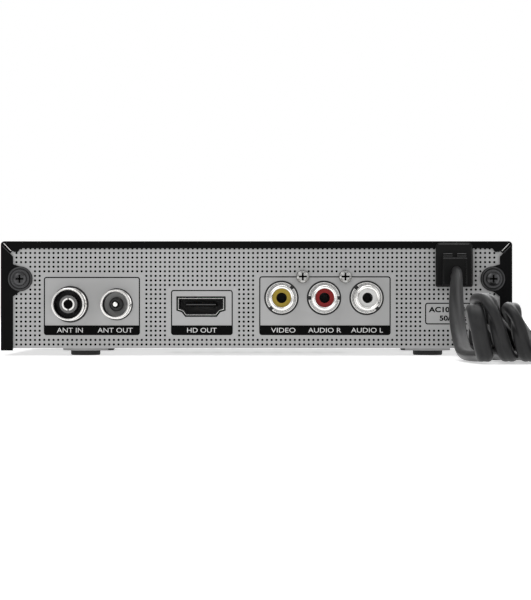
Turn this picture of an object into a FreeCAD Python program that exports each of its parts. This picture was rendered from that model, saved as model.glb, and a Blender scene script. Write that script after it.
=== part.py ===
"""A set-top digital television receiver that records to a memory stick, with its captive mains cord.

Frame: millimetres, +Z up. The rear panel faces -Y and the front bezel faces +Y. The origin is the
middle of the receiver's footprint, on the surface that its feet stand on.
"""
import FreeCAD, Part
import math
import os
import types

import Sketcher
from FreeCAD import Placement, Rotation, Vector

# ---------------------------------------------------------------- driving dimensions

CASE_SIZES = {
    "CaseWidth": 168.0,
    "CaseTop": 37.6,
    "CaseDepth": 105.0,
    "SideBottom": 1.7,
    "CoverSheet": 0.6,
    "CoverBend": 1.2,
    "CoverGap": 0.2,
    "ChassisSheet": 0.8,
    "ChassisBottom": 2.4,
    "ChassisSide": 8.0,
    "FlangeBottom": 35.3,
    "LobeInner": 77.5,
    "LobeSlope": 0.9,
    "LobeBottom": 34.1,
    "LobeOuter": 79.7,
    "MitreInset": 1.0,
    "SideFlange": 4.0,
    "MitreGap": 0.7,
    "EarAcross": 77.7,
    "EarUp": 25.25,
    "EarDiameter": 8.2,
    "EarDimple": 0.25,
    "EarReach": 5.8,
    "EarReachUp": 4.8,
    "FootDiameter": 9.8,
    "FootHeight": 1.6,
    "FootEdge": 0.5,
    "FootAcross": 57.0,
    "FootInset": 11.0,
    "BossDiameter": 15.0,
    "BossWall": 0.9,
    "TopVentWidth": 2.2,
    "TopVentLength": 24.0,
    "TopVentAlong": 16.8,
    "TopVentPitch": 5.0,
    "TopVentCount": 12.0,
    "FloorVentWidth": 3.0,
    "FloorVentLength": 30.0,
    "FloorVentPitch": 7.0,
    "FloorVentCount": 9.0,
}

SOCKET_SIZES = {
    "AerialUp": 16.9,
    "AerialReach": 9.5,
    "AerialSleeve": 2.0,
    "InputAcross": -61.2,
    "InputHole": 12.1,
    "InputBarrel": 10.6,
    "InputBore": 9.5,
    "InputInsulator": 5.8,
    "InputContact": 4.1,
    "InputContactBore": 3.1,
    "InputSlit": 0.5,
    "OutputAcross": -45.9,
    "OutputHole": 10.6,
    "OutputBarrel": 9.5,
    "OutputBore": 8.3,
    "OutputPin": 2.4,
    "VideoPortAcross": -18.25,
    "VideoPortTop": 19.25,
    "VideoPortShoulder": 15.0,
    "VideoPortKnee": 14.5,
    "VideoPortBottom": 13.0,
    "VideoPortHalf": 7.85,
    "VideoPortKneeHalf": 6.25,
    "VideoPortBottomHalf": 5.05,
    "VideoPortGap": 0.35,
    "VideoPortDepth": 11.0,
    "VideoPortTongueWidth": 10.2,
    "VideoPortTongue": 1.3,
    "ShellWall": 0.3,
    "JackFirst": 8.2,
    "JackPitch": 14.0,
    "JackUp": 19.0,
    "JackHole": 11.4,
    "JackRing": 10.2,
    "JackRingProud": 0.4,
    "JackNotch": 1.3,
    "JackBarrel": 8.3,
    "JackReach": 8.8,
    "JackInsert": 5.9,
    "JackBore": 3.45,
    "JackLip": 0.5,
    "BlockDepth": 12.0,
    "BlockMargin": 6.2,
    "BlockTop": 24.9,
    "BlockScrewUp": 26.0,
    "BlockLug": 6.0,
    "LugDepth": 9.0,
    "ScrewHead": 4.4,
    "ScrewShank": 2.5,
    "ScrewLength": 7.0,
    "ScrewHeadHeight": 1.6,
    "CoverScrewWasher": 6.2,
    "CoverScrewHead": 4.7,
    "CoverScrewHeadHeight": 1.3,
    "WasherSheet": 0.7,
    "RecessSpan": 2.6,
    "RecessSlot": 0.6,
    "RecessDepth": 0.9,
}

FRONT_SIZES = {
    "BezelDepth": 12.0,
    "BezelWall": 2.2,
    "BezelEdge": 1.5,
    "CapProud": 0.8,
    "CapClearance": 0.4,
    "CapTravel": 0.4,
    "PowerAcross": 64.0,
    "ButtonsUp": 20.0,
    "PowerCap": 10.4,
    "ChannelFirst": 34.0,
    "ChannelPitch": 14.0,
    "ChannelWidth": 11.0,
    "ChannelHeight": 5.6,
    "CapFlange": 1.0,
    "CapFlangeReach": 1.2,
    "CapRear": 4.45,
    "SwitchSide": 6.0,
    "SwitchDepth": 3.4,
    "SwitchGap": 0.9,
    "PlungerDiameter": 3.4,
    "PlungerSocket": 1.2,
    "WindowLeft": -46.0,
    "WindowRight": 22.0,
    "WindowBottom": 11.0,
    "WindowTop": 29.0,
    "WindowRecess": 0.3,
    "DigitsLeft": -39.2,
    "DigitsBottom": 13.2,
    "DigitsWidth": 40.8,
    "DigitsHeight": 13.6,
    "EyeAcross": 12.5,
    "EyeDiameter": 4.2,
    "EyeLens": 1.8,
    "MemoryPortAcross": -66.0,
    "MemoryPortWidth": 13.1,
    "MemoryPortHeight": 5.7,
    "MemoryPortDepth": 14.0,
    "MemoryPortTongue": 1.8,
    "MemoryPortTongueDepth": 8.8,
    "FrontBoardLeft": -52.0,
    "FrontBoardRight": 75.0,
    "FrontBoardBottom": 4.5,
    "FrontBoardTop": 34.0,
}

BOARD_SIZES = {
    "BoardSheet": 1.6,
    "StandoffHeight": 8.0,
    "StandoffDiameter": 5.0,
    "MainLeft": -79.0,
    "MainRight": 46.0,
    "MainDepth": 91.0,
    "PowerLeft": 50.0,
    "PowerRight": 79.0,
    "PowerDepth": 76.0,
    "BoardRear": 1.2,
    "BoardScrewHead": 5.0,
    "CanWall": 0.4,
    "FinCount": 6.0,
    "FinSheet": 1.2,
    "FinBase": 2.5,
    "RibbonSheet": 0.9,
    "RibbonRise": 6.0,
    "WindingInset": 3.4,
}

CORD_SIZES = {
    "GrommetAcross": 64.85,
    "GrommetWidth": 12.1,
    "GrommetBottom": 22.6,
    "GrommetTop": 37.1,
    "GrommetSheet": 2.0,
    "GrommetNeck": 7.8,
    "GrommetNeckBottom": 24.0,
    "GrommetCorner": 0.6,
    "GrommetBlockWidth": 8.1,
    "GrommetBlockBottom": 23.0,
    "GrommetBlockTop": 32.3,
    "GrommetBlockDepth": 2.8,
    "CordWidth": 5.0,
    "CordThickness": 3.1,
    "HankAcross": 61.9,
    "HankNear": 104.8,
    "HankTurn": 7.5,
    "HankLength": 102.0,
    "HankBottom": 0.6,
    "HankTop": 20.0,
    "HankLeft": -2.5,
    "HankRight": 21.0,
    "HankShoulder": 22.0,
    "WaistStart": 48.0,
    "WaistEnd": 60.0,
    "WaistTop": 7.6,
    "WaistLeft": 1.9,
    "WaistRight": 17.6,
    "TieWidth": 4.0,
    "TieSheet": 0.5,
    "PlugWidth": 33.0,
    "PlugThickness": 13.7,
    "PlugLength": 36.0,
    "PlugNeck": 10.0,
    "PlugWaist": 16.0,
    "PlugWaistAlong": 14.4,
    "PlugShoulderAlong": 23.4,
    "PlugEdge": 2.0,
    "PinDiameter": 4.0,
    "PinLength": 19.0,
    "PinSpacing": 18.6,
    "LeadDiameter": 2.2,
    "LeadSpacing": 2.8,
}

# Parts that stand on a board: (left, behind the rear panel, width, depth, height)
BLOCKS = {
    "Tuner": (-74.0, 1.0, 40.0, 38.0, 14.0),
    "Processor": (-8.0, 38.0, 17.0, 17.0, 1.6),
    "Heatsink": (-12.0, 34.0, 25.0, 25.0, 9.0),
    "Memory": (-30.0, 40.0, 12.0, 8.5, 1.1),
    "MainHeader": (40.0, 28.0, 5.0, 14.0, 6.0),
    "PowerHeader": (51.0, 28.0, 5.0, 14.0, 6.0),
    "MainsHeader": (60.5, 6.0, 9.0, 7.0, 8.0),
    "Choke": (53.0, 8.0, 6.5, 13.0, 14.0),
    "Transformer": (57.0, 46.0, 19.0, 17.0, 17.0),
    "DisplayHeader": (2.0, 86.0, 12.0, 4.0, 5.0),
}

# Round parts that stand on a board: (across, behind the rear panel, diameter, height)
CANS = {
    "FilterCan": (12.0, 18.0, 6.3, 11.0),
    "SupplyCan": (30.0, 46.0, 8.0, 12.0),
    "StandbyCan": (30.0, 60.0, 6.3, 9.0),
    "AudioCan": (-24.0, 60.0, 5.0, 8.0),
    "OutputCan": (54.5, 66.0, 7.0, 14.0),
    "BulkCan": (68.0, 30.0, 13.0, 18.0),
}

# Screws through the boards into the tray's standoffs: (across, behind the rear panel)
BOARD_SCREWS = {
    "MainLeftRear": (-75.0, 46.0),
    "MainLeftFront": (-75.0, 84.0),
    "MainRightRear": (42.0, 20.0),
    "MainRightFront": (42.0, 84.0),
    "PowerLeftRear": (53.5, 24.8),
    "PowerLeftFront": (54.0, 73.6),
    "PowerRightRear": (75.4, 6.0),
    "PowerRightFront": (75.4, 73.6),
}

# The lead from the grommet down to the surface and into the hank, and the tail from the hank to
# the plug: across, along and up.
LEAD_ROUTE = (
    (65.1, -53.55, 26.95),
    (64.9, -57.8, 26.7),
    (64.5, -63.2, 25.3),
    (63.9, -69.4, 22.1),
    (63.2, -77.2, 16.2),
    (62.9, -88.0, 9.3),
    (62.9, -101.5, 4.4),
    (62.6, -116.5, 2.3),
    (63.4, -130.0, 1.9),
    (65.8, -143.2, 2.15),
)
TAIL_ROUTE = (
    (83.6, -145.7, 2.15),
    (83.1, -157.5, 1.8),
    (84.6, -169.3, 1.6),
    (91.0, -179.6, 1.6),
    (101.6, -185.2, 1.6),
    (113.6, -184.2, 1.6),
    (124.2, -176.7, 1.6),
    (130.7, -165.2, 1.6),
    (132.9, -151.2, 1.6),
    (131.9, -135.6, 1.6),
    (129.3, -118.8, 1.6),
    (127.2, -100.4, 1.6),
    (126.6, -82.0, 1.6),
    (127.5, -63.6, 1.6),
    (129.2, -46.2, 1.9),
    (130.2, -31.0, 4.0),
    (130.4, -17.4, 6.5),
    (130.4, -5.0, 6.85),
)


def all_sizes():
    """Every driving dimension by its cell's name, the placed parts' own sizes included."""
    sizes = {**CASE_SIZES, **SOCKET_SIZES, **FRONT_SIZES, **BOARD_SIZES, **CORD_SIZES}
    for name, numbers in BLOCKS.items():
        for what, number in zip(("Left", "Behind", "Width", "Depth", "Height"), numbers):
            sizes[name + what] = number
    for name, numbers in CANS.items():
        for what, number in zip(("Across", "Behind", "Diameter", "Height"), numbers):
            sizes[name + what] = number
    for name, numbers in BOARD_SCREWS.items():
        for what, number in zip(("ScrewAcross", "ScrewBehind"), numbers):
            sizes[name + what] = number
    return sizes


class Length:
    """A length that keeps how it follows from the sheet's cells, for binding, next to its value."""

    def __init__(self, value, text):
        self.value = value
        self.text = text

    def __add__(self, other):
        other = length(other)
        return Length(self.value + other.value, f"({self.text} + {other.text})")

    def __sub__(self, other):
        other = length(other)
        return Length(self.value - other.value, f"({self.text} - {other.text})")

    def __mul__(self, other):
        other = length(other)
        return Length(self.value * other.value, f"({self.text} * {other.text})")

    def __truediv__(self, other):
        other = length(other)
        return Length(self.value / other.value, f"({self.text} / {other.text})")

    def __neg__(self):
        return Length(-self.value, f"(-{self.text})")

    def __radd__(self, other):
        return length(other) + self

    def __rsub__(self, other):
        return length(other) - self

    def __rmul__(self, other):
        return length(other) * self


def length(number):
    """The number as a Length, whichever of the two it comes as."""
    return number if isinstance(number, Length) else Length(float(number), repr(float(number)))


doc = FreeCAD.newDocument("receiver")
sheet = doc.addObject("Spreadsheet::Sheet", "Sizes")
for row, (alias, number) in enumerate(all_sizes().items(), 1):
    sheet.set(f"A{row}", alias)
    sheet.set(f"B{row}", str(number))
    sheet.setAlias(f"B{row}", alias)
doc.recompute()
size = types.SimpleNamespace(
    **{alias: Length(getattr(sheet, alias), f"Sizes.{alias}") for alias in all_sizes()}
)

# Levels and faces that several parts share.
REAR = (size.AerialReach - size.CapProud - size.CaseDepth) / 2
FRONT = REAR + size.CaseDepth
BEZEL_BACK = FRONT - size.BezelDepth
PANEL_INSIDE = REAR + size.ChassisSheet
HALF_WIDTH = size.CaseWidth / 2
INNER_HALF = HALF_WIDTH - size.CoverSheet
COVER_BACK = REAR - size.CoverSheet
ROOF = size.CaseTop - size.CoverSheet
FLOOR_TOP = size.ChassisBottom + size.ChassisSheet
BOARD_BOTTOM = FLOOR_TOP + size.StandoffHeight
BOARD_TOP = BOARD_BOTTOM + size.BoardSheet
BEZEL_INSIDE = FRONT - size.BezelWall
CAP_REAR = BEZEL_INSIDE - size.CapRear + size.BezelWall
SWITCH_FRONT = CAP_REAR - size.SwitchGap
FRONT_BOARD_FACE = SWITCH_FRONT - size.SwitchDepth
GROMMET_FACE = COVER_BACK - size.GrommetSheet
JACKS = tuple(size.JackFirst + size.JackPitch * index for index in range(3))
JACK_SCREWS = tuple(size.JackFirst + size.JackPitch * (index + 0.5) for index in range(2))
CHANNELS = tuple(size.ChannelFirst + size.ChannelPitch * index for index in range(2))

# The phono jacks from left to right, and where the notches of each one's base ring lie.
NOTCH_ANGLES = {"video": math.pi / 4, "audio_right": 0, "audio_left": 3 * math.pi / 4}

UPRIGHT = {"XY_Plane": 1, "XZ_Plane": -1, "YZ_Plane": 1}
LINE_AXIS = {"X": Vector(1, 0, 0), "Y": Vector(0, 1, 0), "Z": Vector(0, 0, 1)}
FULL_TURN = 360

# A point this near a face lies on it, and a direction this near an axis runs along it.
TOUCHING = 0.05

# A turned head or tip is flat over this share of its radius, and its shoulder bulges by the other.
DOME_FLAT = 0.6
DOME_BULGE = 2.33

# Each arc of the cord starts this share of the shorter run before its point.
RUN_SHARE = 0.45
VOLUME_TOLERANCE = 0.03

parts = []

# ---------------------------------------------------------------- helpers


def bind(obj, **properties):
    """Drives each property from the sheet; a double underscore stands for the dot in its path."""
    for name, value in properties.items():
        obj.setExpression(name.replace("__", "."), length(value).text)


def keep(obj, name):
    """Makes the object a sub-part: its label names its file."""
    obj.Label = name
    parts.append(obj)
    return obj


def block(name, left, back, bottom, width, depth, height):
    """A box by its lowest corner and its three sizes."""
    obj = doc.addObject("Part::Box", name)
    bind(obj, Length=width, Width=depth, Height=height)
    bind(obj, Placement__Base__x=left, Placement__Base__y=back, Placement__Base__z=bottom)
    return obj


def rod(name, x, y, z, diameter, reach, axis="Z"):
    """A cylinder along an axis, from the middle of its lower end."""
    obj = doc.addObject("Part::Cylinder", name)
    obj.Placement = Placement(Vector(), Rotation(LINE_AXIS["Z"], LINE_AXIS[axis]))
    bind(obj, Radius=length(diameter) / 2, Height=reach)
    bind(obj, Placement__Base__x=x, Placement__Base__y=y, Placement__Base__z=z)
    return obj


def group(name, pieces, joined=False):
    """Several solids as one object: fused where they touch, a compound where they don't."""
    obj = doc.addObject("Part::MultiFuse" if joined else "Part::Compound", name)
    if joined:
        obj.Shapes = pieces
    else:
        obj.Links = pieces
    return obj


def cut(name, base, tools):
    """The base without the tools."""
    obj = doc.addObject("Part::Cut", name)
    obj.Base = base
    obj.Tool = tools[0] if len(tools) == 1 else group(name + "_tools", tools)
    return obj


def origin_item(body, role):
    """One of the body's own origin planes or axes."""
    return next(item for item in body.Origin.OriginFeatures if item.Role == role)


def new_body(name):
    """A PartDesign body that may hold separate solids, kept as a sub-part."""
    body = doc.addObject("PartDesign::Body", name)
    body.AllowCompound = True
    return keep(body, name)


def disc(x, y, diameter):
    """A round outline for extrude()."""
    return ("disc", x, y, diameter)


def polygon(*points):
    """A straight-sided outline for extrude()."""
    return ("polygon", points)


def rectangle(left, bottom, right, top):
    """An upright rectangle for extrude(), by its corners."""
    return polygon((left, bottom), (right, bottom), (right, top), (left, top))


def fix_point(sketch, element, vertex, point):
    """Dimensions a sketch point from the sketch's origin."""
    for kind, distance in zip(("DistanceX", "DistanceY"), point):
        distance = length(distance)
        row = sketch.addConstraint(
            Sketcher.Constraint(kind, -1, 1, element, vertex, distance.value)
        )
        sketch.setExpression(f"Constraints[{row}]", distance.text)


def draw(sketch, outline):
    """Adds one outline to a sketch, every point of it dimensioned from the sheet."""
    first = sketch.GeometryCount
    if outline[0] == "disc":
        _, x, y, diameter = outline
        middle = Vector(length(x).value, length(y).value, 0)
        radius = length(diameter).value / 2
        sketch.addGeometry(Part.Circle(middle, LINE_AXIS["Z"], radius), False)
        fix_point(sketch, first, 3, (x, y))
        row = sketch.addConstraint(Sketcher.Constraint("Diameter", first, 2 * radius))
        sketch.setExpression(f"Constraints[{row}]", length(diameter).text)
        return
    corners = [Vector(length(x).value, length(y).value, 0) for x, y in outline[1]]
    count = len(corners)
    for index, corner in enumerate(corners):
        sketch.addGeometry(Part.LineSegment(corner, corners[(index + 1) % count]), False)
    for index in range(count):
        after = first + (index + 1) % count
        sketch.addConstraint(Sketcher.Constraint("Coincident", first + index, 2, after, 1))
    for index, point in enumerate(outline[1]):
        fix_point(sketch, first + index, 1, point)


def new_sketch(body, plane, outlines, level=0, across=0):
    """A sketch on one of the body's own planes, moved along its normal to a level."""
    sketch = body.newObject("Sketcher::SketchObject", f"{body.Name}_sketch")
    sketch.AttachmentSupport = [(origin_item(body, plane), "")]
    sketch.MapMode = "FlatFace"
    bind(
        sketch,
        AttachmentOffset__Base__x=across,
        AttachmentOffset__Base__z=length(level) * UPRIGHT[plane],
    )
    for outline in outlines:
        draw(sketch, outline)
    return sketch


def extrude(body, plane, start, end, outlines, away=False):
    """Adds (or, with away, removes) the outlines' material from start to end along the +axis."""
    kind = "PartDesign::Pocket" if away else "PartDesign::Pad"
    sketch = new_sketch(body, plane, outlines, start)
    doc.recompute()
    before = body.Shape.Volume if body.Tip else 0
    feature = body.newObject(kind, f"{body.Name}_{'pocket' if away else 'pad'}")
    feature.Profile = sketch
    feature.Reversed = (UPRIGHT[plane] < 0) != away
    bind(feature, Length=length(end) - start)
    doc.recompute()
    if (feature.Shape.Volume >= before) == away:
        raise ValueError(f"{feature.Name} changes nothing")
    return feature


def turned(body, x, z, profile):
    """Adds a solid of revolution about the line along Y through (x, z)."""
    sketch = new_sketch(body, "XY_Plane", [polygon(*profile)], z, x)
    feature = body.newObject("PartDesign::Revolution", f"{body.Name}_turned")
    feature.Profile = sketch
    feature.ReferenceAxis = (sketch, ["V_Axis"])
    feature.Angle = FULL_TURN
    doc.recompute()
    return feature


def tube_profile(outer, inner, start, end):
    """The half section of a tube, from its two diameters and its two ends."""
    return ((inner / 2, start), (outer / 2, start), (outer / 2, end), (inner / 2, end))


def repeated(body, features, axis, spread, count):
    """Repeats features of the body along an axis, the last one a spread away."""
    pattern = body.newObject("PartDesign::LinearPattern", f"{body.Name}_pattern")
    pattern.Originals = features
    pattern.Direction = (origin_item(body, axis + "_Axis"), [""])
    bind(pattern, Length=spread, Occurrences=count)
    body.Tip = pattern
    doc.recompute()
    return pattern


def softened(body, radius, chosen):
    """Rounds the edges of the body that the test picks."""
    base = body.Tip
    edges = [f"Edge{index}" for index, edge in enumerate(base.Shape.Edges, 1) if chosen(edge)]
    feature = body.newObject("PartDesign::Fillet", f"{body.Name}_round")
    feature.Base = (base, edges)
    bind(feature, Radius=radius)
    doc.recompute()
    return feature


def runs_along(edge, axis):
    """Whether a straight edge is parallel to an axis."""
    if not isinstance(edge.Curve, Part.Line):
        return False
    return edge.Curve.Direction.cross(LINE_AXIS[axis]).Length < TOUCHING


def mirrored(outline):
    """The same outline on the other side of the middle plane."""
    if outline[0] == "disc":
        return disc(-outline[1], *outline[2:])
    return polygon(*[(-x, y) for x, y in reversed(outline[1])])


def both_sides(*outlines):
    """The outlines and their mirror images."""
    return [*outlines, *[mirrored(outline) for outline in outlines]]


# ---------------------------------------------------------------- case


def foot_places():
    """The middles of the four feet."""
    rear = REAR + size.FootInset
    front = BEZEL_BACK - size.FootInset
    return [(x, y) for x in (-size.FootAcross, size.FootAcross) for y in (rear, front)]


def screw_places(board=""):
    """Where screws hold a board, or both of them, to the standoffs: (across, along)."""
    return [
        (getattr(size, name + "ScrewAcross"), REAR + getattr(size, name + "ScrewBehind"))
        for name in BOARD_SCREWS
        if name.startswith(board)
    ]


def video_port_outline(inset):
    """The six-sided socket outline, drawn in from the panel's cutout by an inset."""
    middle = size.VideoPortAcross
    top = size.VideoPortTop - inset
    shoulder = size.VideoPortShoulder + inset / 2
    knee = size.VideoPortKnee + inset
    bottom = size.VideoPortBottom + inset
    right = [
        (middle + size.VideoPortBottomHalf - inset / 2, bottom),
        (middle + size.VideoPortKneeHalf - inset / 2, knee),
        (middle + size.VideoPortHalf - inset, shoulder),
        (middle + size.VideoPortHalf - inset, top),
    ]
    left = [(middle * 2 - x, z) for x, z in reversed(right)]
    return polygon(*right, *left)


def chassis_tray():
    """The floor, rear panel, front lip and low sides, folded from one sheet, with its cutouts."""
    body = new_body("chassis_tray")
    bottom = size.ChassisBottom
    lip_front = BEZEL_BACK - size.CoverGap
    lip_back = lip_front - size.ChassisSheet
    lip_top = bottom + size.ChassisSide
    half = INNER_HALF - size.CoverGap
    top = ROOF - size.CoverGap
    section = polygon(
        (REAR, bottom),
        (lip_front, bottom),
        (lip_front, lip_top),
        (lip_back, lip_top),
        (lip_back, FLOOR_TOP),
        (PANEL_INSIDE, FLOOR_TOP),
        (PANEL_INSIDE, top),
        (REAR, top),
    )
    extrude(body, "YZ_Plane", -half, half, [section])
    side = rectangle(half - size.ChassisSheet, FLOOR_TOP, half, lip_top)
    extrude(body, "XZ_Plane", PANEL_INSIDE, lip_back, both_sides(side))

    feet = foot_places()
    bosses = [disc(x, y, size.BossDiameter) for x, y in feet]
    extrude(body, "XY_Plane", size.FootHeight, bottom, bosses)
    hollows = [disc(x, y, size.BossDiameter - size.BossWall * 2) for x, y in feet]
    hollow_floor = size.FootHeight + size.ChassisSheet
    extrude(body, "XY_Plane", hollow_floor, FLOOR_TOP, hollows, away=True)
    posts = [disc(x, y, size.StandoffDiameter) for x, y in screw_places()]
    extrude(body, "XY_Plane", FLOOR_TOP, BOARD_BOTTOM, posts)

    cutouts = [
        disc(size.InputAcross, size.AerialUp, size.InputHole),
        disc(size.OutputAcross, size.AerialUp, size.OutputHole),
        video_port_outline(length(0)),
        rectangle(
            size.GrommetAcross - size.GrommetNeck / 2,
            size.GrommetNeckBottom,
            size.GrommetAcross + size.GrommetNeck / 2,
            size.CaseTop,
        ),
    ]
    cutouts += [disc(x, size.JackUp, size.JackHole) for x in JACKS]
    cutouts += [disc(x, size.BlockScrewUp, size.ScrewShank) for x in JACK_SCREWS]
    cutouts += both_sides(disc(size.EarAcross, size.EarUp, size.ScrewShank))
    extrude(body, "XZ_Plane", REAR, PANEL_INSIDE, cutouts, away=True)

    vent_left = -size.FloorVentPitch * (size.FloorVentCount - 1) / 2
    vent = rectangle(
        vent_left - size.FloorVentWidth / 2,
        -size.FloorVentLength / 2,
        vent_left + size.FloorVentWidth / 2,
        size.FloorVentLength / 2,
    )
    slot = extrude(body, "XY_Plane", bottom, FLOOR_TOP, [vent], away=True)
    repeated(body, [slot], "X", -vent_left * 2, size.FloorVentCount)


def side_flange():
    """The right-hand rear flange with the pointed root of its screw ear."""
    inner = HALF_WIDTH - size.SideFlange
    outer = HALF_WIDTH - size.CoverSheet / 2
    corner = outer - inner
    mitre = ROOF - size.MitreGap
    ear_top = size.EarUp + size.EarDiameter / 2
    ear_bottom = size.EarUp - size.EarDiameter / 2
    return polygon(
        (inner, size.SideBottom),
        (outer, size.SideBottom),
        (outer, mitre),
        (inner, mitre - corner),
        (inner, size.EarUp + size.EarReachUp),
        (size.EarAcross, ear_top),
        (size.EarAcross, ear_bottom),
        (inner, size.EarUp - size.EarReach),
    )


def top_flange():
    """The upper rear flange: a straight lower edge with a lobe at each mitred corner."""
    outer = HALF_WIDTH - size.MitreInset
    top = size.CaseTop - size.CoverSheet / 2
    right = [
        (size.LobeInner, size.FlangeBottom),
        (size.LobeInner + size.LobeSlope, size.LobeBottom),
        (size.LobeOuter, size.LobeBottom),
        (size.LobeOuter + size.CoverSheet, size.LobeBottom + size.CoverSheet),
        (outer, top),
    ]
    left = [(-x, z) for x, z in reversed(right)]
    return polygon(*right, *left)


def top_cover():
    """The U-shaped cover with its rear flanges, screw ears and two rows of vents."""
    body = new_body("top_cover")
    end = BEZEL_BACK - size.CoverGap
    section = polygon(
        (-HALF_WIDTH, size.SideBottom),
        (-INNER_HALF, size.SideBottom),
        (-INNER_HALF, ROOF),
        (INNER_HALF, ROOF),
        (INNER_HALF, size.SideBottom),
        (HALF_WIDTH, size.SideBottom),
        (HALF_WIDTH, size.CaseTop),
        (-HALF_WIDTH, size.CaseTop),
    )
    extrude(body, "XZ_Plane", COVER_BACK, end, [section])

    def is_upper_corner(edge):
        middle = edge.CenterOfMass
        wide = HALF_WIDTH.value - CASE_SIZES["CoverBend"]
        return runs_along(edge, "Y") and abs(middle.x) > wide and middle.z > size.CaseTop.value - TOUCHING

    softened(body, size.CoverBend, is_upper_corner)
    extrude(body, "XZ_Plane", COVER_BACK, REAR, [*both_sides(side_flange()), top_flange()])
    ear = disc(size.EarAcross, size.EarUp, size.EarDiameter)
    extrude(body, "XZ_Plane", COVER_BACK, REAR, both_sides(ear))
    dimple_floor = COVER_BACK + size.EarDimple
    extrude(body, "XZ_Plane", COVER_BACK, dimple_floor, both_sides(ear), away=True)
    openings = both_sides(disc(size.EarAcross, size.EarUp, size.ScrewShank))
    openings.append(
        rectangle(
            size.GrommetAcross - size.GrommetNeck / 2,
            size.GrommetNeckBottom,
            size.GrommetAcross + size.GrommetNeck / 2,
            ROOF,
        )
    )
    extrude(body, "XZ_Plane", COVER_BACK, REAR, openings, away=True)

    first = -size.TopVentPitch * (size.TopVentCount - 1) / 2
    slots = [
        rectangle(
            first - size.TopVentWidth / 2,
            side - size.TopVentLength / 2,
            first + size.TopVentWidth / 2,
            side + size.TopVentLength / 2,
        )
        for side in (-size.TopVentAlong, size.TopVentAlong)
    ]
    slot = extrude(body, "XY_Plane", ROOF, size.CaseTop, slots, away=True)
    repeated(body, [slot], "X", -first * 2, size.TopVentCount)


def rubber_feet():
    """Four round feet with softened lower edges."""
    body = new_body("rubber_feet")
    discs = [disc(x, y, size.FootDiameter) for x, y in foot_places()]
    extrude(body, "XY_Plane", length(0), size.FootHeight, discs)
    softened(body, size.FootEdge, lambda edge: edge.CenterOfMass.z < CASE_SIZES["FootEdge"] / 2)


def phillips_screw(body, x, z, profile, face):
    """One turned screw with a cross recess in the face of its head."""
    turned(body, x, z, profile)
    half_span = size.RecessSpan / 2
    half_slot = size.RecessSlot / 2
    level_slot = rectangle(x - half_span, z - half_slot, x + half_span, z + half_slot)
    upright_slot = rectangle(x - half_slot, z - half_span, x + half_slot, z + half_span)
    for outline in (level_slot, upright_slot):
        extrude(body, "XZ_Plane", face, face + size.RecessDepth, [outline], away=True)


def domed_head(radius, face, height):
    """The rim and dome of a pan head, from its face back to its seat, as profile points."""
    flat = radius * DOME_FLAT
    shoulder = (flat + radius * DOME_BULGE) / (1 + DOME_BULGE)
    return ((flat, face), (shoulder, face + height / 4), (radius, face + height * DOME_FLAT))


def cover_screws():
    """The two black washer-head screws that hold the cover's ears to the rear panel."""
    body = new_body("cover_screws")
    seat = COVER_BACK + size.EarDimple
    washer = seat - size.WasherSheet
    face = washer - size.CoverScrewHeadHeight
    head = domed_head(size.CoverScrewHead / 2, face, size.CoverScrewHeadHeight)
    profile = (
        (length(0), face),
        *head,
        (size.CoverScrewHead / 2, washer),
        (size.CoverScrewWasher / 2, washer),
        (size.CoverScrewWasher / 2, seat),
        (size.ScrewShank / 2, seat),
        (size.ScrewShank / 2, seat + size.ScrewLength),
        (length(0), seat + size.ScrewLength),
    )
    for side in (-size.EarAcross, size.EarAcross):
        phillips_screw(body, side, size.EarUp, profile, face)


def phono_screws():
    """The two zinc pan-head screws that hold the phono block to the rear panel."""
    body = new_body("phono_screws")
    face = REAR - size.ScrewHeadHeight
    profile = (
        (length(0), face),
        *domed_head(size.ScrewHead / 2, face, size.ScrewHeadHeight),
        (size.ScrewHead / 2, REAR),
        (size.ScrewShank / 2, REAR),
        (size.ScrewShank / 2, REAR + size.ScrewLength),
        (length(0), REAR + size.ScrewLength),
    )
    for x in JACK_SCREWS:
        phillips_screw(body, x, size.BlockScrewUp, profile, face)


# ---------------------------------------------------------------- rear sockets


def aerial_sockets():
    """The aerial input with its split contact, and the loop-through output with its pin."""
    tip = REAR - size.AerialReach
    root = REAR + size.TunerBehind
    up = size.AerialUp
    shell = new_body("aerial_input_shell")
    turned(shell, size.InputAcross, up, tube_profile(size.InputBarrel, size.InputBore, tip, root))
    sleeve = tip + size.AerialSleeve
    insulator = new_body("aerial_input_insulator")
    profile = tube_profile(size.InputInsulator, size.InputContact, sleeve, root)
    turned(insulator, size.InputAcross, up, profile)
    contact = new_body("aerial_input_contact")
    contact_tip = sleeve - size.ChassisSheet
    profile = tube_profile(size.InputContact, size.InputContactBore, contact_tip, root)
    turned(contact, size.InputAcross, up, profile)
    slit = rectangle(
        size.InputAcross - size.InputSlit / 2,
        up - size.InputContact,
        size.InputAcross + size.InputSlit / 2,
        up + size.InputContact,
    )
    extrude(contact, "XZ_Plane", contact_tip, REAR, [slit], away=True)

    shell = new_body("aerial_output_shell")
    profile = tube_profile(size.OutputBarrel, size.OutputBore, tip, root)
    turned(shell, size.OutputAcross, up, profile)
    insulator = new_body("aerial_output_insulator")
    profile = tube_profile(size.OutputBore, size.OutputPin, REAR - size.ChassisSheet, root)
    turned(insulator, size.OutputAcross, up, profile)
    pin = new_body("aerial_output_pin")
    radius = size.OutputPin / 2
    pin_tip = tip + size.ChassisSheet
    profile = (
        (length(0), pin_tip),
        (radius * DOME_FLAT, pin_tip + radius / 4),
        (radius, pin_tip + radius),
        (radius, root),
        (length(0), root),
    )
    turned(pin, size.OutputAcross, up, profile)


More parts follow.
